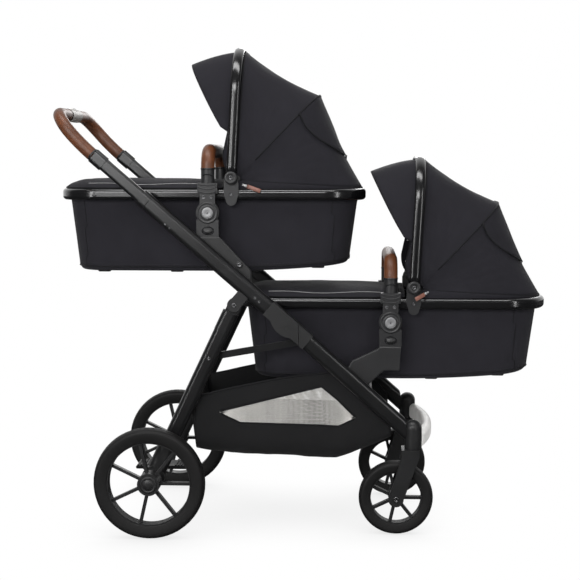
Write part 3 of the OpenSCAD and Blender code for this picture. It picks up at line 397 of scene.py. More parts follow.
def noise(x, y, seed=0.0):
    """Smooth, repeatable ripples from a few sine waves."""
    return (np.sin(1.7 * x + 2.3 * y + seed) + np.sin(3.1 * x - 1.9 * y + 1.3 * seed)
            + 0.5 * np.sin(5.3 * x + 4.7 * y + 2.1 * seed)) / 2.5


def arch_point(turn, half, rise, square):
    c, s = np.cos(turn), np.sin(turn)
    return half * np.sign(c) * np.abs(c) ** (2 / square), rise * np.abs(s) ** (2 / square)


def bent_bar(half, foot, top, corner, counts):
    """A bar's centre line from foot to foot, with counts of points up a leg, round a corner and across."""
    path = [(0, half, z) for z in np.linspace(foot, top - corner, counts[0])]
    for a in np.radians(np.linspace(0, 90, counts[1])[1:]):
        path.append((0, half - corner + corner * cos(a), top - corner + corner * sin(a)))
    path += [(0, y, top) for y in np.linspace(half - corner, 0, counts[2])[1:]]
    path = np.array(path)
    return np.concatenate([path, path[-2::-1] * (1, -1, 1)])


# Frame nodes: rounded edges and finishes

def dress(mat, width, segments, *names):
    for name in names:
        o = nodes[name]
        o.data.materials.clear()
        o.data.materials.append(mat)
        for p in o.data.polygons:
            p.material_index = 0
        modify(o, "WELD", merge_threshold=0.00002)
        if width:
            modify(o, "BEVEL", width=width, segments=segments, limit_method="ANGLE", angle_limit=radians(38))
        modify(o, "WEIGHTED_NORMAL", keep_sharp=True)


def pair(name, end=""):
    return [f"{name}_{side}{end}" for side in SIDES]


dress(PAINT, 0.001, 2, *pair("main_tube"), *pair("front_tube"), *pair("rear_leg"), "frame_crossbar",
      "rear_axle", "handle_tubes", "leg_braces")
dress(PLASTIC, 0.002, 3, "leg_clevises", "axle_housings", "brake_pedal")
dress(PLASTIC, 0.0004, 2, "fold_hubs", "fold_sockets")
dress(PAINT, 0.0006, 2, "telescope_collars")
dress(PLASTIC, 0.0016, 3, "castor_housings", *pair("castor_fork"))
dress(PLASTIC, 0.003, 3, "upper_cot_brackets")
dress(HUBGREY, 0.003, 3, "lower_cot_brackets")
dress(PLASTIC, 0.0018, 3, *pair("rear_wheel"), *pair("front_wheel"))
dress(GREY, 0.001, 2, "front_bumper")
dress(HANDLEGREY, 0.002, 3, "handle_housing")
dress(GREY, 0.0015, 3, "handle_button")
for cot in COTS:
    dress(GLOSS, 0, 0, f"cot_rim_{cot}")
    dress(PAINT, 0.0005, 2, f"hood_bow_{cot}")
    dress(HUBGREY, 0.001, 2, f"hood_brackets_{cot}")
    dress(HUBGREY, 0.0022, 3, f"cot_mounts_{cot}")
    dress(CHROME, 0.0015, 3, *pair("cot_button", f"_{cot}"))


# Hoods

BACK_APEX = np.array([RIM_FRONT - 10, RIM_TOP + 0.4]) - CENTRE
ARCH_APEX = (UNDER_ARCH - 0.4) * np.array([sin(LEAN), cos(LEAN)])
PEAK_APEX = PEAK - CENTRE
# the vent's flap hangs from the seam at the peak, halfway along the canopy, and starts just behind it
SEAM, FLAP_START = 0.5, 0.501


def ridge(u):
    """The canopy's ridge line, from the arch over the peak to the rim, sagging between them."""
    if u <= SEAM:
        a, b, s, sag = ARCH_APEX, PEAK_APEX, 2 * u, 9.0
    else:
        a, b, s, sag = PEAK_APEX, BACK_APEX, 2 * u - 1, 8.0
    d = b - a
    out = np.array([-d[1], d[0]]) / np.linalg.norm(d)
    return a + s * d - sag * sin(pi * s) * out


def canopy_point(u, v, lift=0.0):
    """A point of the canopy's outer face, u from arch to rim and v across, both from 0 to 1."""
    apex = ridge(u)
    rise = np.linalg.norm(apex)
    half, square = CANOPY_HALF - 9.6 * u, ARCH_SQUARE - 0.8 * u
    y, q = arch_point(pi * v, half + lift, rise + lift - FOOT, square)
    # the cloth gives where it hangs free of the arch, the bow and the rim
    free = sin(pi * ((2 * u) % 1.0)) if u < 1 else 0.0
    mid = sin(pi * v)
    slack = free * (1.5 + 4.5 * (1 - mid)) * min(1.0, q / 80)
    y -= copysign(slack, y) if abs(y) > 1e-6 else 0
    # pleats all over the sides, and creases in a strip above the rim
    low = min(v, 1 - v)
    y += copysign(1.6 * free * float(noise(u * 11, low * 26, 2.0)) * mid, y)
    strip = exp(-((low - 0.16) / 0.09) ** 2)
    y += copysign(1.7 * free * sin(46 * u + 3 * sin(9 * low)) * strip, y)
    ripple = (noise(u * 9, v * 11) * 0.8 + noise(u * 5 + 2, v * 7, 4.0) * 2.0) * free
    p = CENTRE + (FOOT + q + ripple) * apex / rise
    return p[0], y, p[1]


def leaned(pts):
    """Turns points given from the hood's pivot back by the arch's lean."""
    p = np.asarray(pts, float)
    c, k = cos(LEAN), sin(LEAN)
    x, z = p[..., 0], p[..., 2]
    return np.stack([PIVOT[0] + x * c + z * k, p[..., 1], PIVOT[1] - x * k + z * c], -1)


def canopy_line(u, vs, lift=0.0):
    return [canopy_point(u, v, lift) for v in vs]


def flap_edge(v):
    """How far along the canopy the vent's flap reaches, at a place across it."""
    return SEAM + 0.315 * max(0.0, sin(pi * (v - 0.2) / 0.6)) ** 0.42


def hood_cloth(o):
    """Bakes the placement of a piece of the hood's cloth into its mesh."""
    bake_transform(o)


def canopy(cot):
    near_seam = [0.485, 0.495, SEAM, 0.505, 0.515]
    us = np.concatenate([np.linspace(0, 0.47, 22), near_seam, np.linspace(0.53, 1, 22)])
    o, area = black_cloth("canopy", cot, [canopy_line(u, shares(71)) for u in us], 1.6)
    hood_cloth(o)
    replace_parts(o, f"hood_canopy_{cot}")
    trim = Piece("canopy_trim", cot)
    line = np.linspace(0.015, 0.985, 90)
    trim.tube(canopy_line(SEAM, line, 1.2), 2.0, BINDING)
    trim.tube(canopy_line(0.004, line, 0.6), 2.2, BINDING)
    for u in (SEAM - 0.012, SEAM + 0.012):
        trim.stitches(canopy_line(u, line, 0.4), DARKTHREAD, pitch=7)
    # the vent's flap, with a hem and a pull loop at its tip
    flap_v = 0.5 - 0.3 * np.cos(np.linspace(0, pi, 57))
    rows = []
    for s in shares(15):
        lift = 2.4 + 1.6 * sin(pi * s) + 2.6 * s ** 3
        rows.append([canopy_point(FLAP_START + s * (flap_edge(v) - FLAP_START), v, lift) for v in flap_v])
    flap, flap_area = black_cloth("vent_flap", cot, rows, 1.4)
    hood_cloth(flap)
    trim.tube([canopy_point(flap_edge(v), v, 4.8) for v in flap_v], 2.0, BINDING)
    trim.tube(canopy_line(SEAM, np.linspace(0.19, 0.81, 60), 3.2), 1.9, BINDING)
    tip = canopy_point(flap_edge(0.5), 0.5, 5.2)
    loop = [(tip[0] + 3 * s, 5 * cos(pi * s), tip[2] - 12.6 * sin(pi * s)) for s in shares(13)]
    trim.tube(loop, 1.3, BINDING, sides=6)
    t = trim.make("black_cloth")
    hood_cloth(t)


def hood_band(cot):
    """The band that joins the canopy's lower edge to the rim."""
    rows = []
    for v in shares(81):
        x, y, z = canopy_point(1.0, v)
        middle = (x + 1.2, y * 1.006, (z + RIM_TOP) / 2 + 0.4)
        rows.append([(x, y, z + 0.6), middle, (x + 0.6, y, RIM_TOP - 3.0)])
    rows = np.array(rows)
    # its ends run on past the pivots, where they close the corner under the canopy
    fall = np.array([(-1, 0, -0.25), (-1, 0, -0.12), (-1, 0, 0)])
    run = (28, 21, 14, 7)
    ends = [rows[0] + k * fall for k in run], [rows[-1] + k * fall for k in run[::-1]]
    rows = np.concatenate([ends[0], rows, ends[1]])
    o, area = black_cloth("hood_band", cot, rows, 1.6, flip=True, levels=1)
    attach(o, f"cot_{cot}")
    seam = Piece("hood_band_piping", cot)
    seam.tube(rows[:, 0] + (0.6, 0, 0.4), 1.6, BINDING)
    piping = seam.make("black_cloth", f"cot_{cot}")


def visor(cot):
    low_turn = radians(6.5)
    half, rise = 169.0, UNDER_ARCH - 0.3
    low = arch_point(low_turn, half, rise, ARCH_SQUARE)[1]

    def point(s, v, lift=0.0):
        """From the arch to the visor's edge by s, and across by v."""
        turn = low_turn + (pi - 2 * low_turn) * v
        y, q = arch_point(turn, half + lift, rise + lift, ARCH_SQUARE)
        share = max(q - low, 0) / (rise - low)
        corner = min(1.0, share / 0.09)
        x = -2 - s * (2 + 16 * sqrt(1 - (1 - corner) ** 2) + 106 * share ** 0.9)
        z = CENTRE[1] - PIVOT[1] + q - 38 * share * s ** 1.5
        tuck = 3.0 * s * (1 - share)
        return tuple(leaned((x, y - copysign(tuck, y), z)))

    vs = shares(61)
    rows = [[point(s, v) for v in vs] for s in shares(16)]
    o, area = black_cloth("visor", cot, rows, 1.8, flip=True)
    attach(o, f"hood_{cot}")
    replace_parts(o, f"hood_visor_{cot}")
    trim = Piece("visor_trim", cot)
    trim.tube([point(1.0, v) for v in vs], 2.0, BINDING)
    trim.stitches([point(0.93, v, 0.2) for v in vs], DARKTHREAD, pitch=7)
    t = trim.make("black_cloth", f"hood_{cot}")


def wings(cot):
    """Narrow facings with press studs that carry the visor's cloth down the arch's feet."""
    widest, width, inner = 62, 24, 163.4
    for side, sy in SIDES.items():
        rows = []
        for z in np.linspace(13, 122, 26):
            if z < widest:
                w = width * sqrt(max(0.02, 1 - ((z - widest) / 50) ** 2))
            else:
                w = width - 10 * (z - widest) / 60
            rows.append([(-1 - w * k, sy * (inner - 3.0 * k + 0.6 * sin(z / 7) * k), z) for k in shares(8)])
        points = leaned(rows)
        o, area = black_cloth(f"hood_wing_{side}", cot, points, 1.6, flip=sy > 0)
        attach(o, f"hood_{cot}")
        trim = Piece(f"wing_studs_{side}", cot)
        stud = [(4.6, -1.2), (4.6, 0.8), (3.8, 1.6), (2.2, 1.7), (1.8, 1.0), (0.2, 0.9)]
        for z in (40, 104):
            trim.lathe(stud, leaned((-11, sy * (inner - 1.8), z)), (0, -sy, 0), ZIP, 24)
        trim.tube(points[:, -1], 1.2, BINDING, sides=6)
        t = trim.make("black_cloth", f"hood_{cot}")


def sleeve(cot):
    """The strip that carries the canopy's front edge in under the arch and closes the hood there."""
    rows = []
    foot = np.arcsin(np.linspace(0.04, 0.9, 30) ** 2.1) / pi
    for v in [*foot, *np.linspace(foot[-1], 1 - foot[-1], 45)[1:-1], *(1 - foot[::-1])]:
        y, q = arch_point(pi * v, 168.9, UNDER_ARCH - 0.3, ARCH_SQUARE)
        a = leaned((-3.0, y, CENTRE[1] - PIVOT[1] + q))
        b = np.array(canopy_point(0.045, v, -2.4))
        rows.append([a + (b - a) * k for k in shares(7)])
    o, area = black_cloth("hood_sleeve", cot, rows, 1.2, mat=LINING)
    hood_cloth(o)


def hood_arch(cot):
    """The bent arch: an oval band from foot to foot, with a round foot on each pin."""
    half, corner, thin, wide = 175.3, 118.0, 5.9, 12.9
    path = leaned(bent_bar(half, 8, ARCH_RISE - ARCH_T / 2, corner, (12, 25, 8)))
    o = Piece("arch", cot)
    o.tube(path, thin, GLOSS, sides=36, flat=wide / thin, up=(cos(LEAN), 0, -sin(LEAN)))
    foot = [(5.2, 0), (16.2, 0), (16.9, 0.8), (16.9, 10.8), (16.2, 11.7), (5.2, 11.7)]
    for sy in (1, -1):
        o.boss(foot, PIVOT, 169.4, sy, PLASTIC, 48)
    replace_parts(o.make("frame_paint", f"hood_{cot}"), f"hood_arch_{cot}")


# Cot tubs, aprons and mattresses

def plan(x0, x1, half, r, count=200):
    """Points evenly spaced round a plan outline with round corners."""
    pts = []
    for q in range(4):
        cx = x1 - r if q in (0, 3) else x0 + r
        cy = half - r if q < 2 else r - half
        for a in np.radians(np.linspace(90 * q, 90 * q + 90, 13)):
            pts.append((cx + r * cos(a), cy + r * sin(a)))
    p = np.array(pts + pts[:1])
    s = run_along(p)
    at = np.linspace(0, s[-1], count, endpoint=False)
    return np.stack([np.interp(at, s, p[:, 0]), np.interp(at, s, p[:, 1])], -1)


def rocker(x):
    """How far the tub's bottom rises towards the front."""
    return 26 * (np.maximum(x - 20, 0) / (RIM_FRONT - 20)) ** 2


def tub_ring(share, wall, lift=0.0, belly=0.0):
    """A ring round the tub, some share of the way down and set in by a wall."""
    side = TAPER_SIDE * share + wall
    p = plan(TUB_INSET - RIM_REAR + TAPER_REAR * share + wall,
             RIM_FRONT - TUB_INSET - TAPER_FRONT * share - wall, TUB_HALF - side, TUB_CORNER - side)
    inward = belly * (1 - np.clip(np.abs(p[:, 0] - 3) / 400, 0, 1) ** 4)
    y = p[:, 1] - np.sign(p[:, 1]) * inward
    z = RIM_Z - TUB_DEPTH * share + share * rocker(p[:, 0]) + lift
    return np.stack([p[:, 0], y, z], -1)


def tub_wall(share, wall=0.0):
    """A ring of the tub's outer face, drawn in at its middle height."""
    return tub_ring(share, wall, belly=2.2 * sin(pi * share))


def tub(cot):
    rows = []
    for s in np.linspace(0, 0.93, 20):
        r = tub_wall(s)
        r[:, 1] += 0.5 * noise(r[:, 0] / 60, s * 7) * np.sign(r[:, 1])
        rows.append(r)
    for a in np.radians(np.arange(15, 91, 15)):
        rows.append(tub_ring(1.0, 12 * (1 - cos(a)), 14 * (1 - sin(a))))
    o = Piece("tub", cot)
    o.patch(rows, CLOTH, close_v=True, flip=True)
    o.fan(rows[-1], CLOTH, flip=True)
    inner = [tub_ring(s, 5.0, 5.0 * s) for s in shares(9)]
    o.patch([rows[0]] + inner, LINING, close_v=True)
    m = inner[-1].mean(axis=0)
    floor = [m + k * (inner[-1] - m) for k in (1, 0.7, 0.4, 0.1)]
    o.patch(floor, LINING, close_v=True)
    o.fan(floor[-1], LINING)
    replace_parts(o.make("black_cloth", f"cot_{cot}"), f"cot_tub_{cot}")
    tub_trim(cot)


def tub_trim(cot):
    """Piping and stitches round the tub, upright seams near its ends, and feet under it."""
    trim = Piece("tub_trim", cot)
    trim.tube(tub_ring(0.945, -0.4), 1.5, BINDING, closed=True)
    for s in (0.915, 0.11):
        trim.stitches(tub_wall(s, -0.3), DARKTHREAD, pitch=8)
    for x in (-330, 325):
        for sy in (-1, 1):
            seam = []
            for s in np.linspace(0.07, 0.94, 24):
                r = tub_wall(s, -0.3)
                side = r[np.sign(r[:, 1]) == sy]
                seam.append(side[np.argmin(np.abs(side[:, 0] - x))])
            trim.tube(seam, 0.9, BINDING, sides=6)
    outline = plan(-17, 17, 7, 6.5, 32)
    for x in (-285, -90, 110, 285):
        for sy in (-1, 1):
            under = (x, sy * 112, RIM_Z - TUB_DEPTH + float(rocker(x)))
            foot = [np.insert(outline * k, 2, h, axis=1) + under
                    for h, k in ((1.5, 1.0), (-2.5, 1.0), (-4.0, 0.9), (-4.2, 0.3))]
            trim.patch(foot, PLASTIC, close_v=True, flip=True)
            trim.fan(foot[-1], PLASTIC, flip=True)
    trim.make("black_cloth", f"cot_{cot}")


def apron(cot):
    """The padded cover over the foot end, with a zip down each side."""
    back, front, corner = -RIM_REAR + 10, 36.0, 100.0
    vs = np.sin(np.linspace(1, -1, 41) * pi / 2)
    rows = []
    for x in back + (front - back) * shares(44) ** 1.5:
        half = 155 - corner + sqrt(max(corner ** 2 - max(back + corner - x, 0) ** 2, 0.0))
        rise = 5.0 * min(1.0, (x - back) / 14)
        crown = 17 * (1 - ((x - back) / (front - back) - 0.4) ** 2)
        crown *= sin(min(1.0, (x - back) / 60) * pi / 2)
        pull = 2.0 * exp(-((x - 10) / 30) ** 2)
        row = []
        for v in vs:
            z = RIM_TOP + 1.8 + rise * (1 - abs(v) ** 8) + crown * (1 - abs(v) ** 3.2)
            z += (1.3 * float(noise(x / 70, v * 3, 1.0)) + pull * sin(v * 7)) * (1 - v * v)
            row.append((x, v * (half - 0.5), z))
        rows.append(row)
    rows = np.array(rows)
    o, area = black_cloth("apron", cot, rows, 2.4, levels=1)
    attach(o, f"cot_{cot}")
    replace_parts(o, f"cot_apron_{cot}")
    trim = Piece("apron_trim", cot)
    border = np.concatenate([rows[::-1, 0], rows[:, -1]])
    trim.tube(border + (0, 0, 0.3), 1.9, BINDING)
    trim.tube(rows[-1] + (0, 0, 0.2), 2.1, BINDING)
    for v in (-0.95, 0.95):
        line = []
        for r in rows:
            x = r[0][0]
            if -330 < x < 30:
                w = v * (0.93 + 0.035 * sin(x / 38))
                line.append([np.interp(-w, -vs, r[:, k]) for k in range(3)])
        line = np.array(line) + (0, 0, 0.9)
        trim.tube(line, 4.6, BINDING, sides=10, flat=0.25, up=(0, 0, 1))
        trim.stitches(line + (0, 0, 1.3), ZIP, pitch=3.0, length=2.5, r=1.5)
    trim.stitches(rows[-3] + (0, 0, 0.4), DARKTHREAD, pitch=7)
    t = trim.make("black_cloth", f"cot_{cot}")
    if cot == "lower":
        # the lower cot's cover and its trim get meshes of their own
        for piece in (o, t):
            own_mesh(piece)


def mattress(cot):
    """A quilted pad, from shares of its plan and heights in steps of 9 mm."""
    step = 9.0
    r = tub_ring(1.0, 13.5)
    m = r.mean(axis=0)
    rows = []
    for share, h in ((0.10, -0.5), (0.45, -0.5), (0.8, -0.35), (0.94, 0.2), (1.0, 0.8), (1.0, 1.6),
                     (0.97, 2.2), (0.9, 2.6), (0.7, 3.0), (0.4, 3.2), (0.12, 3.25)):
        x, y = (m + share * (r - m))[:, :2].T
        z = RIM_Z - TUB_DEPTH + rocker(x) + step + step * h
        if h > 2.5:
            z -= 1.6 * np.abs(np.sin(x / 28)) * np.abs(np.cos(y / 28)) * (h - 2.4)
        rows.append(np.stack([x, y, z], -1))
    o = Piece("mattress", cot).patch(rows, KNIT, close_v=True)
    o.fan(rows[0], KNIT, flip=True).fan(rows[-1], KNIT)
    o.tube(rows[5] + (0, 0, 2.0), 1.8, KNIT, sides=6, closed=True)
    ob = o.make("mattress_cloth", f"cot_{cot}")
    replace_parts(ob, f"cot_mattress_{cot}")


# Leather pieces

def bumper_bar(cot):
    foot, top, corner = 111.3, 160.0, 47.0
    path = bent_bar(BAR_HALF, foot + 0.2, top, corner, (3, 19, 14))
    o = Piece("bumper_bar", cot)
    radius = BAR_R + 0.1 * np.sin(np.arange(len(path)) * 1.9)
    o.tube(path, radius, LEATHER, sides=24, up=(1, 0, 0))
    cup = [(9.9, -0.2), (18.4, -0.2), (18.9, 1.0), (18.9, 3.2), (18.3, 4.4), (17.4, 4.8)]
    for sy in (-1, 1):
        post = [(0, sy * BAR_HALF, z) for z in np.linspace(foot - 24, foot + 2, 8)]
        o.tube(post, 9.9, PLASTIC, sides=20)
        o.lathe(cup, (0, sy * BAR_HALF, foot), (0, 0, 1), PLASTIC)
    # the seam runs along the inside of the bend
    inward = np.cross(tangents(path), (1, 0, 0))
    inward *= np.sign(np.einsum("ij,ij->i", (0, 0, 70.0) - path, inward))[:, None]
    seam = path + inward * (BAR_R + 0.1)
    o.tube(seam, 1.1, LEATHER, sides=6)
    for x in (-3.2, 3.2):
        o.stitches(seam + (x, 0, 0) - inward * 0.4, THREAD)
    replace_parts(o.make("brown_leather", f"bumper_{cot}"), f"bumper_bar_{cot}")


def handle_grips():
    start, rise, corner, r = 670, 144.0, 62.0, 16.5
    straight = rise - corner
    flat = [(straight * k / 14, FRAME_Y) for k in range(14)]
    flat += [(straight + corner * sin(a), FRAME_Y - corner + corner * cos(a))
             for a in np.linspace(0, pi / 2, 22)]
    flat += [(rise, y) for y in np.linspace(FRAME_Y - corner, 56.3, 14)[1:]]
    path = []
    for along, y in flat:
        p = HUB + (start + along) * UP + 17 * (along / rise) ** 2 * ACROSS
        path.append((p[0], y, p[1]))
    path = np.array(path)
    o = Piece("handle_grips")
    across = np.array([ACROSS[0], 0, ACROSS[1]])
    n = tangents(path)
    s = unit(across - (n @ across)[:, None] * n)
    w = np.cross(n, s)
    seam = path - s * (r + 0.1)
    k = np.arange(len(path))
    radius = r - 0.5 * (1 - np.minimum(1, k / 2)) - 0.6 * (k > len(path) - 2)
    for sy in (1, -1):
        m = np.array([1, sy, 1])
        o.tube(path * m, radius, LEATHER, sides=28, up=across)
        o.tube(seam * m, 1.1, LEATHER, sides=6)
        for out in (-3.4, 3.4):
            o.stitches((seam + out * w + 0.35 * s) * m, THREAD)
        o.lathe([(15.5, 0), (17.2, 0.2), (17.4, 1.5), (17.2, 3.0), (16.2, 3.4)], path[-1] * m, (0, sy, 0),
                PLASTIC, 36)
        o.lathe([(13, 0.2), (17.0, 0.2), (17.5, 1.2), (17.5, 4.0), (17.0, 5.0), (15.8, 5.2)], path[0] * m,
                (UP[0], 0, UP[1]), PLASTIC, 36)
    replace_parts(o.make("brown_leather", "handle"), "handle_grips")


# Tyres: a turned section with a tread of fine grooves

def tyre(end, side, centre, r, inner, w, rim):
    """The tyre's sides lap over the rim's faces, rim being half the rim's width."""
    lap = [(0, 2), (-7.4, -0.4), (-8.2, -0.9), (-7.6, -1.6), (-5, -2.3), (1, -3.4)]
    wall = [(inner + dr, dh - rim) for dr, dh in lap]
    wall += [(inner + 0.35 * (r - inner), -w * 0.487), (r - w * 0.27, -w * 0.49)]
    crown = [(r - w * 0.25 + w * 0.25 * sin(a) ** 0.9, -w * 0.49 * cos(a))
             for a in np.linspace(0.12, pi - 0.12, 21)]
    segs, depth = 240, 0.9
    a = circle(segs)
    rows = []
    for rad, h in wall + crown + [(q, -h) for q, h in wall[::-1]]:
        tread = abs(h) < w * 0.3 and rad > inner + 5
        groove = depth * tread * ((np.arange(segs) + int(abs(h) / w * 30)) % 5 == 0)
        ring = depth if rad > r - 4 and abs(abs(h) - w * 0.16) < w * 0.03 else 0.0
        rr = rad - groove - ring
        rows.append(np.stack([rr * np.cos(a), np.full(segs, h), rr * np.sin(a)], -1) + centre)
    rows.append(rows[0])
    o = Piece(f"{end}_tread_{side}").patch(rows, RUBBER, close_v=True)
    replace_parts(o.make("tyre_rubber", f"{end}_{side}"), f"{end}_tyre_{side}")


# Shopping basket: cloth bottom and bands with net windows in its sides

# the outline at shares of its run forward, tops and lows being shares of its depth above its level
BASKET_X, BASKET_RUN, BASKET_Z, BASKET_DEPTH, BASKET_HALF = 99, 525, 198, 200, 186.7
RUN = [0.017, 0.1, 0.195, 0.3, 0.408, 0.543, 0.66, 0.727, 0.805, 0.901, 1]
TOPS = [0.78, 0.83, 0.89, 0.95, 1.01, 1.07, 1.1, 1.13, 0.97, 0.74, 0.51]
LOWS = [0.07, 0.03, 0.01, 0, 0, -0.02, -0.04, -0.04, 0.03, 0.14, 0.25]
# drawn in between the legs and the front tubes, where the folded brace passes
HALVES = [0.97, 0.92, 0.915, 0.915, 0.915, 0.915, 0.92, 0.945, 0.98, 1, 0.99]
BASKET_SQUARE = 8.0
CORNER = 0.5 ** (1 / BASKET_SQUARE)
# the net window's upper and lower edges, as runs from the rear axle and heights
WINDOW = 171, 530
WINDOW_TOP = [WINDOW[0], 441, 485, WINDOW[1]], [313, 382, 347, 303]
WINDOW_LOW = [WINDOW[0], 227, 486, WINDOW[1]], [311, 285, 279, 302]


def basket_share(x):
    return (x - BASKET_X) / BASKET_RUN


def basket_heights(x):
    """Heights of the basket's top edge and of its bottom, where the cloth sags below the frame's line."""
    s = basket_share(x)
    top, low = (BASKET_Z + BASKET_DEPTH * np.interp(s, RUN, line) for line in (TOPS, LOWS))
    return top, low - 10 * sin(pi * min(max(0.06 + 0.94 * s, 0), 1)) ** 0.5


def basket_section(x, turn, sy=1):
    """A point of the basket's outer face at a run in millimetres from the rear axle."""
    top, low = basket_heights(x)
    half = BASKET_HALF * np.interp(basket_share(x), RUN, HALVES)
    y, q = arch_point(turn, half, top - low, BASKET_SQUARE)
    wave = 1.4 * float(noise(x / 45, turn * 2.2, 0.7)) * sin(turn) ** 2
    return AXLE_X + x, sy * y, top - q + wave


def even_turn(q):
    """Turn of a point some share of the way round the section, evenly spaced along the cloth."""
    if q > 1:
        return pi - even_turn(2 - q)
    power = BASKET_SQUARE / 2
    return asin((2 * q * CORNER) ** power) if q < 0.5 else acos((2 * (1 - q) * CORNER) ** power)


def side_turn(x, z):
    """Turn of a point at a height on the basket's side."""
    top, low = basket_heights(x)
    d = min(max((top - z) / (top - low), 0.0), 1.0)
    return asin(min(1.0, d ** (BASKET_SQUARE / 2)))


def basket_bend(o):
    """Bakes the placement of a piece of the basket into its mesh."""
    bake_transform(o)


def basket():
    rear_x, front_x = 108, 624
    xs = np.linspace(rear_x, front_x, 88)
    open_xs = xs[(xs >= WINDOW[0]) & (xs <= WINDOW[1])]
    edges = np.interp(open_xs, *WINDOW_TOP), np.interp(open_xs, *WINDOW_LOW)
    body = Piece("basket")
    for sy in (1, -1):
        upper, lower = [], []
        for x in xs:
            top, low = basket_heights(x)
            z1, z0 = np.interp(x, *WINDOW_TOP), np.interp(x, *WINDOW_LOW)
            if not WINDOW[0] <= x <= WINDOW[1]:
                z1 = z0 = min(max(z0, low + 0.45 * (top - low)), top - 2)
            q0 = min((top - z0) / (top - low) / CORNER / 2, 0.49)
            upper.append([basket_section(x, side_turn(x, top + (z1 - top) * k), sy) for k in shares(9)])
            lower.append([basket_section(x, even_turn(q0 + (1 - q0) * k), sy) for k in shares(29)])
        body.patch(upper, BASKET, flip=sy < 0)
        body.patch(lower, BASKET, flip=sy < 0)
    # the rear wall draws together towards the top of the legs
    top = BASKET_Z + BASKET_DEPTH * 0.77
    rear = []
    for s in shares(7):
        row = []
        for t in np.linspace(0, 2, 57):
            x, y, z = basket_section(rear_x, even_turn(t))
            row.append((x - 10 * sin(pi / 2 * (1 - s)), y * (0.985 + 0.015 * s),
                        top - (top - z) * (0.06 + 0.94 * s)))
        rear.append(row)
    body.patch(rear, BASKET)
    o = body.make("basket_cloth")
    area = thicken(o, 2.0)
    basket_bend(o)
    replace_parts(o, "shopping_basket")
    mesh = Piece("basket_net")
    trim = Piece("basket_trim")
    for sy in (1, -1):
        rows = []
        for x in np.linspace(open_xs[0], open_xs[-1], 110):
            z1, z0 = (np.interp(x, open_xs, edge) for edge in edges)
            rows.append([basket_section(x, side_turn(x, z1 + (z0 - z1) * k), sy) for k in shares(28)])
        mesh.patch(rows, NET, flip=sy < 0)
        for k in (0, -1):
            trim.tube([r[k] for r in rows], 2.6, BINDING, flat=0.6)
        trim.tube([basket_section(x, 0.0, sy) for x in xs], 2.8, BINDING, sides=10)
    trim.tube(rear[0], 2.6, BINDING)
    m = mesh.make("basket_cloth")
    modify(m, "WIREFRAME", thickness=0.0019, use_replace=True, use_even_offset=False, use_boundary=True)
    settle(m)
    basket_bend(m)
    t = trim.make("basket_cloth")
    basket_bend(t)


# Small fittings

def screw(piece, at, y, sy, r, h):
    profile = [(r, -0.4), (r, h * 0.5), (r * 0.86, h * 0.9), (r * 0.55, h), (r * 0.5, h * 0.35),
               (r * 0.1, h * 0.3)]
    piece.boss(profile, at, y, sy, STEEL, 24)


def mount_trim(cot):
    """Ribs, notch, screws and release button on the faces of the cot's side mounts, with black strips of
    painted shade in the notch and round the button.
    """
    t = Piece("mount_trim", cot)
    xs = np.linspace(-1, 1, 15)
    button_x, button_z = 1, -47
    for sy in (1, -1):
        face = sy * (MOUNT_FACE + 0.2)
        for z, dip, half, r in ((74, 3, 22, 1.6), (67, 6, 24, 1.8), (57, 6, 24, 1.8), (52, 2, 22, 1.5)):
            rib = [(x * half, face, z - dip * (1 - x * x)) for x in xs]
            t.tube(rib, r, HUBGREY, sides=10)
        for x in (-10, 10):
            screw(t, (x, 40.0), MOUNT_FACE, sy, 4.6, 2.2)
        # the notch lies on the bumper bar's socket, and its shade is painted as a black strip along it
        notch = [(12 * x, sy * (BAR_HALF + sqrt((BAR_R + 0.1) ** 2 - (12 * x) ** 2)),
                  94 + 5 * sqrt(1 - x * x)) for x in xs * 0.999]
        t.tube(notch, 1.7, BINDING)
        # painted shade: a black ring round the release button stands for the shade in its groove
        ring = [(button_x + 15 * cos(a), face, button_z + 10 * sin(a)) for a in circle(40)]
        t.tube(ring, 1.3, BINDING, closed=True)
        rows = []
        for k in (1.0, 0.92, 0.8, 0.6, 0.4, 0.2, 0.02):
            dome = 3.6 * sqrt(1 - k * k)
            rows.append([(button_x + 13 * k * cos(a),
                          sy * (MOUNT_FACE + dome * (1 - 0.5 * sin(a) * k)),
                          button_z + 8.4 * k * sin(a)) for a in circle(36)])
        t.patch(rows, PLASTIC, close_v=True, flip=sy > 0)
        screw(t, (PIVOT[0], 47.0), 169.1, sy, 4.2, 1.8)
    t.make("black_plastic", f"cot_{cot}")


def frame_fittings():
    f = Piece("frame_fittings")
    bolt, bracket_face = COTS["upper"] + [83, -135], 187.0
    at_hub, at_collar = (98, 113), (398, 413)
    for sy in (1, -1):
        for along in at_hub:
            screw(f, HUB + along * UP - 2, TUBE_FACE, sy, 3.4, 1.2)
        for along in at_collar:
            screw(f, HUB + along * UP - 12 * ACROSS, TUBE_FACE - 0.4, sy, 2.6, 1.0)
        screw(f, bolt, bracket_face, sy, 6.0, 2.0)
        f.boss([(9, -0.3), (9, 1.0), (8, 1.4), (6.2, 1.4)], bolt, bracket_face, sy, PLASTIC, 28)
    f.make("black_plastic", "frame")
    legs = Piece("leg_fittings")
    p = LEG_TOP + 155 * (AXLE - LEG_TOP) / np.linalg.norm(AXLE - LEG_TOP)
    screw(legs, p, TUBE_FACE, -1, 5.0, 1.6)
    for sy in (1, -1):
        screw(legs, LEG_TOP, TUBE_FACE, sy, 6.0, 1.6)
    legs.make("black_plastic", "rear_legs")


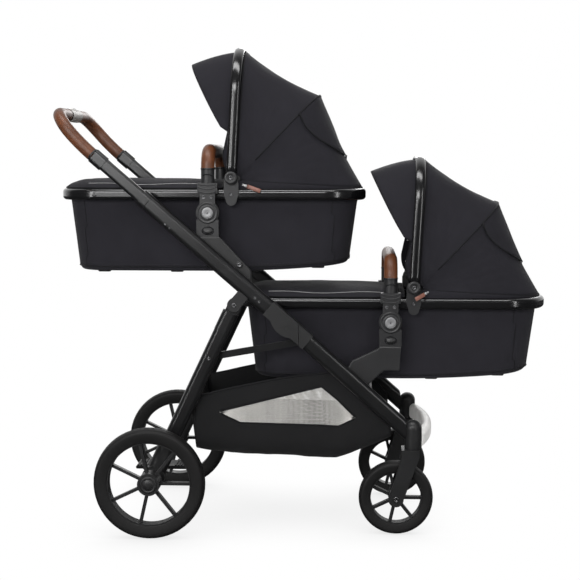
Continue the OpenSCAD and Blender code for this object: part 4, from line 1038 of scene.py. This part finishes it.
def wheel_fittings():
    cap = [(22, -0.4), (21.4, 0.8), (17.5, 1.6), (16.5, 0.9), (13, 0.9), (12, 1.9), (5, 2.6), (0.2, 2.7)]
    hub_face, fork_half = 299.5, 30.0
    for side, sy in SIDES.items():
        hub = Piece(f"hub_cap_{side}")
        hub.boss(cap, AXLE, hub_face, sy, PLASTIC, 48)
        hub.make("black_plastic", f"rear_{side}")
        bolts = Piece(f"fork_bolts_{side}")
        for s in (1, -1):
            screw(bolts, (FRONT_AXLE_X, FRONT_R), s * sy * FRAME_Y + fork_half, s, 7.5, 2.4)
        bolts.make("black_plastic", f"castor_{side}")


def zip_pulls(cot):
    """A leather strip on a slider at each front end of the hood's band."""
    if cot == "upper":
        start, end, end_y = (103, 68), (137, 56), 173.0
    else:
        start, end, end_y = (88, 73), (64, 61), 187.5
    z = Piece("zip_pulls", cot)
    for sy in (1, -1):
        a = np.array([start[0], sy * 170.0, start[1]])
        e = np.array([end[0], sy * end_y, end[1]])
        strip = [a + (e - a) * k + (0, sy * 1.5 * sin(pi * k), 0) for k in shares(9)]
        z.tube(strip, 5.2, STRAP, sides=16, flat=0.3, up=(0, sy, 0))
        back = (a - e) / np.linalg.norm(a - e)
        slider = [a + back * k for k in (1, 5, 9, 14)]
        z.tube(slider, [3.0, 3.6, 2.4, 2.8], ZIP, sides=10, flat=0.5, up=(0, sy, 0))
    z.make("brown_leather", f"cot_{cot}")


def cot_fittings(cot):
    """Covers on the hood's pivots, and the rings and faces of the release buttons."""
    cover = [(16.4, -1.0), (16.4, 0.8), (15.2, 1.8), (9.4, 2.0), (8.6, 1.2), (6.5, 1.2)]
    ring = [(27.8, -0.3), (27.6, 0.7), (24.5, 1.2), (23.6, 0.6), (18.2, 0.6), (17.4, 1.3), (15.3, 1.2),
            (15.2, -1)]
    disc = [(14.0, -0.2), (13.4, 0.7), (11.0, 1.0), (6.0, 0.7), (4.6, 0.3)]
    middle = [(4.7, 0.3), (4.2, -0.1), (2.2, -0.1), (1.8, 0.4), (0.2, 0.5)]
    button, ring_face, button_face, pin_face = (0, 0), 188.0, 190.0, 181.3
    covers, rings = Piece("hood_screws", cot), Piece("button_rings", cot)
    for sy in (1, -1):
        covers.boss(cover, PIVOT, pin_face, sy, HUBGREY, 40)
        screw(covers, PIVOT, pin_face + 1.0, sy, 5.6, 2.0)
        rings.boss(ring, button, ring_face, sy, HUBGREY, 56)
    covers.make("black_plastic", f"hood_{cot}")
    rings.make("black_plastic", f"cot_{cot}")
    for side, sy in SIDES.items():
        s = Piece(f"button_face_{side}", cot)
        s.boss(disc, button, button_face, sy, CHROME, 40)
        s.boss(middle, button, button_face, sy, STEEL, 24)
        s.make("button_chrome", f"button_{side}_{cot}")
    mount_trim(cot)
    zip_pulls(cot)


for cot in COTS:
    for make in (hood_arch, canopy, hood_band, visor, wings, sleeve, tub, apron, mattress, bumper_bar):
        make(cot)
handle_grips()
for side, sy in SIDES.items():
    tyre("rear", side, (AXLE_X, sy * REAR_Y, REAR_R), REAR_R, inner=117.0, w=45.0, rim=17.0)
    tyre("front", side, (FRONT_AXLE_X, sy * FRAME_Y, FRONT_R), FRONT_R, inner=76.0, w=40.0, rim=15.0)
basket()
frame_fittings()
wheel_fittings()
for cot in COTS:
    cot_fittings(cot)


# Studio: white backdrop, floor, lights and the photograph's camera, in metres

# each light's place, aim, size and power in watts
LIGHTS = {
    "top": ((-0.3, -0.9, 3.6), (0, 0, 0.5), (3.4, 0.8), 66),
    "left": ((-2.0, -3.2, 1.4), (0, 0, 0.7), (0.24, 2.6), 32),
    "right": ((2.2, -3.0, 1.4), (0, 0, 0.7), (0.24, 2.6), 24),
    "front": ((-0.8, -4.2, 2.4), (0, 0, 0.6), (2.0, 1.2), 72),
    "tubes": ((-1.1, -3.45, 1.1), (-0.4, -0.2, 0.9), (0.5, 0.5), 8),
    "back": ((0.6, 4.4, 2.4), (0, 0, 0.6), (2.4, 1.2), 42),
}
PHOTO_PIXELS, FOCAL_PIXELS, SENSOR = 580, 1289.19, 36.0
PITCH, YAW = 0.1020987, 0.0513906
EYE = (0.53036 + AXLE_X / 1000, -3.51543, 0.9806)


def backdrop():
    """White behind the object, also in its reflections, and a dim room on the camera's side."""
    world = bpy.data.worlds.new("studio")
    bpy.context.scene.world = world
    world.use_nodes = True
    t = world.node_tree
    rays = add(t, "LightPath").outputs
    seen = math_node(t, "MAXIMUM", rays["Is Camera Ray"], rays["Is Transmission Ray"])
    way = add(t, "SeparateXYZ", Vector=coords(t, "Generated"))
    room = add(t, "MapRange", Value=way.outputs["Y"], From_Min=0.1, From_Max=0.6, To_Min=0.09, To_Max=1.0)
    lit = between(t, rays["Is Glossy Ray"], 0.4, room.outputs[0])
    setup(t.nodes["Background"], Color=(1, 1, 1, 1), Strength=math_node(t, "MAXIMUM", seen, lit))


def stage_floor():
    """The eye sees the white of the backdrop, with a painted soft shadow where the wheels stand."""
    me = bpy.data.meshes.new("floor")
    me.from_pydata([(-9, -9, 0), (9, -9, 0), (9, 14, 0), (-9, 14, 0)], [], [(0, 1, 2, 3)])
    m, t, b = node_tree("floor")
    setup(b, Base_Color=(0.8, 0.8, 0.8, 1), Roughness=0.9, Specular_IOR_Level=0.1)
    # painted contact shadow: ambient occlusion darkens the white that the eye sees on the floor
    shade = add(t, "AmbientOcclusion", Distance=0.3)
    shade.samples = 16
    white = ramp(t, shade.outputs["AO"], (0.25, (0.8, 0.8, 0.8)), (0.9, (1, 1, 1)))
    white_with_painted_shadow = add(t, "Emission", Color=white, Strength=1.0)
    dim = add(t, "Emission", Strength=0.05)
    rays = add(t, "LightPath").outputs
    surface = b.outputs[0]
    for ray, shader in (("Is Camera Ray", white_with_painted_shadow), ("Is Glossy Ray", dim)):
        mix = add(t, "MixShader")
        for socket, value in zip(mix.inputs, (rays[ray], surface, shader.outputs[0])):
            plug(socket, value)
        surface = mix.outputs[0]
    setup(t.nodes["Material Output"], Surface=surface)
    me.materials.append(m)
    link(bpy.data.objects.new("floor", me))


def lights():
    for name, (place, aim, size, power) in LIGHTS.items():
        lamp = bpy.data.lights.new(name, "AREA")
        lamp.shape = "RECTANGLE"
        lamp.energy, lamp.size, lamp.size_y = power, *size
        o = link(bpy.data.objects.new(name, lamp))
        o.location = place
        o.rotation_euler = (Vector(aim) - Vector(place)).to_track_quat("-Z", "Y").to_euler()


def camera():
    cam = bpy.data.cameras.new("camera")
    cam.sensor_width, cam.lens = SENSOR, SENSOR * FOCAL_PIXELS / PHOTO_PIXELS
    o = link(bpy.data.objects.new("camera", cam))
    ahead = Vector((-sin(YAW) * cos(PITCH), cos(YAW) * cos(PITCH), -sin(PITCH)))
    right = ahead.cross(Vector((0, 0, 1))).normalized()
    turn = Matrix((right, right.cross(ahead), -ahead)).transposed()
    o.matrix_world = Matrix.Translation(EYE) @ turn.to_4x4()
    bpy.context.scene.camera = o


backdrop()
stage_floor()
lights()
camera()
bpy.context.scene.view_settings.view_transform = "Standard"
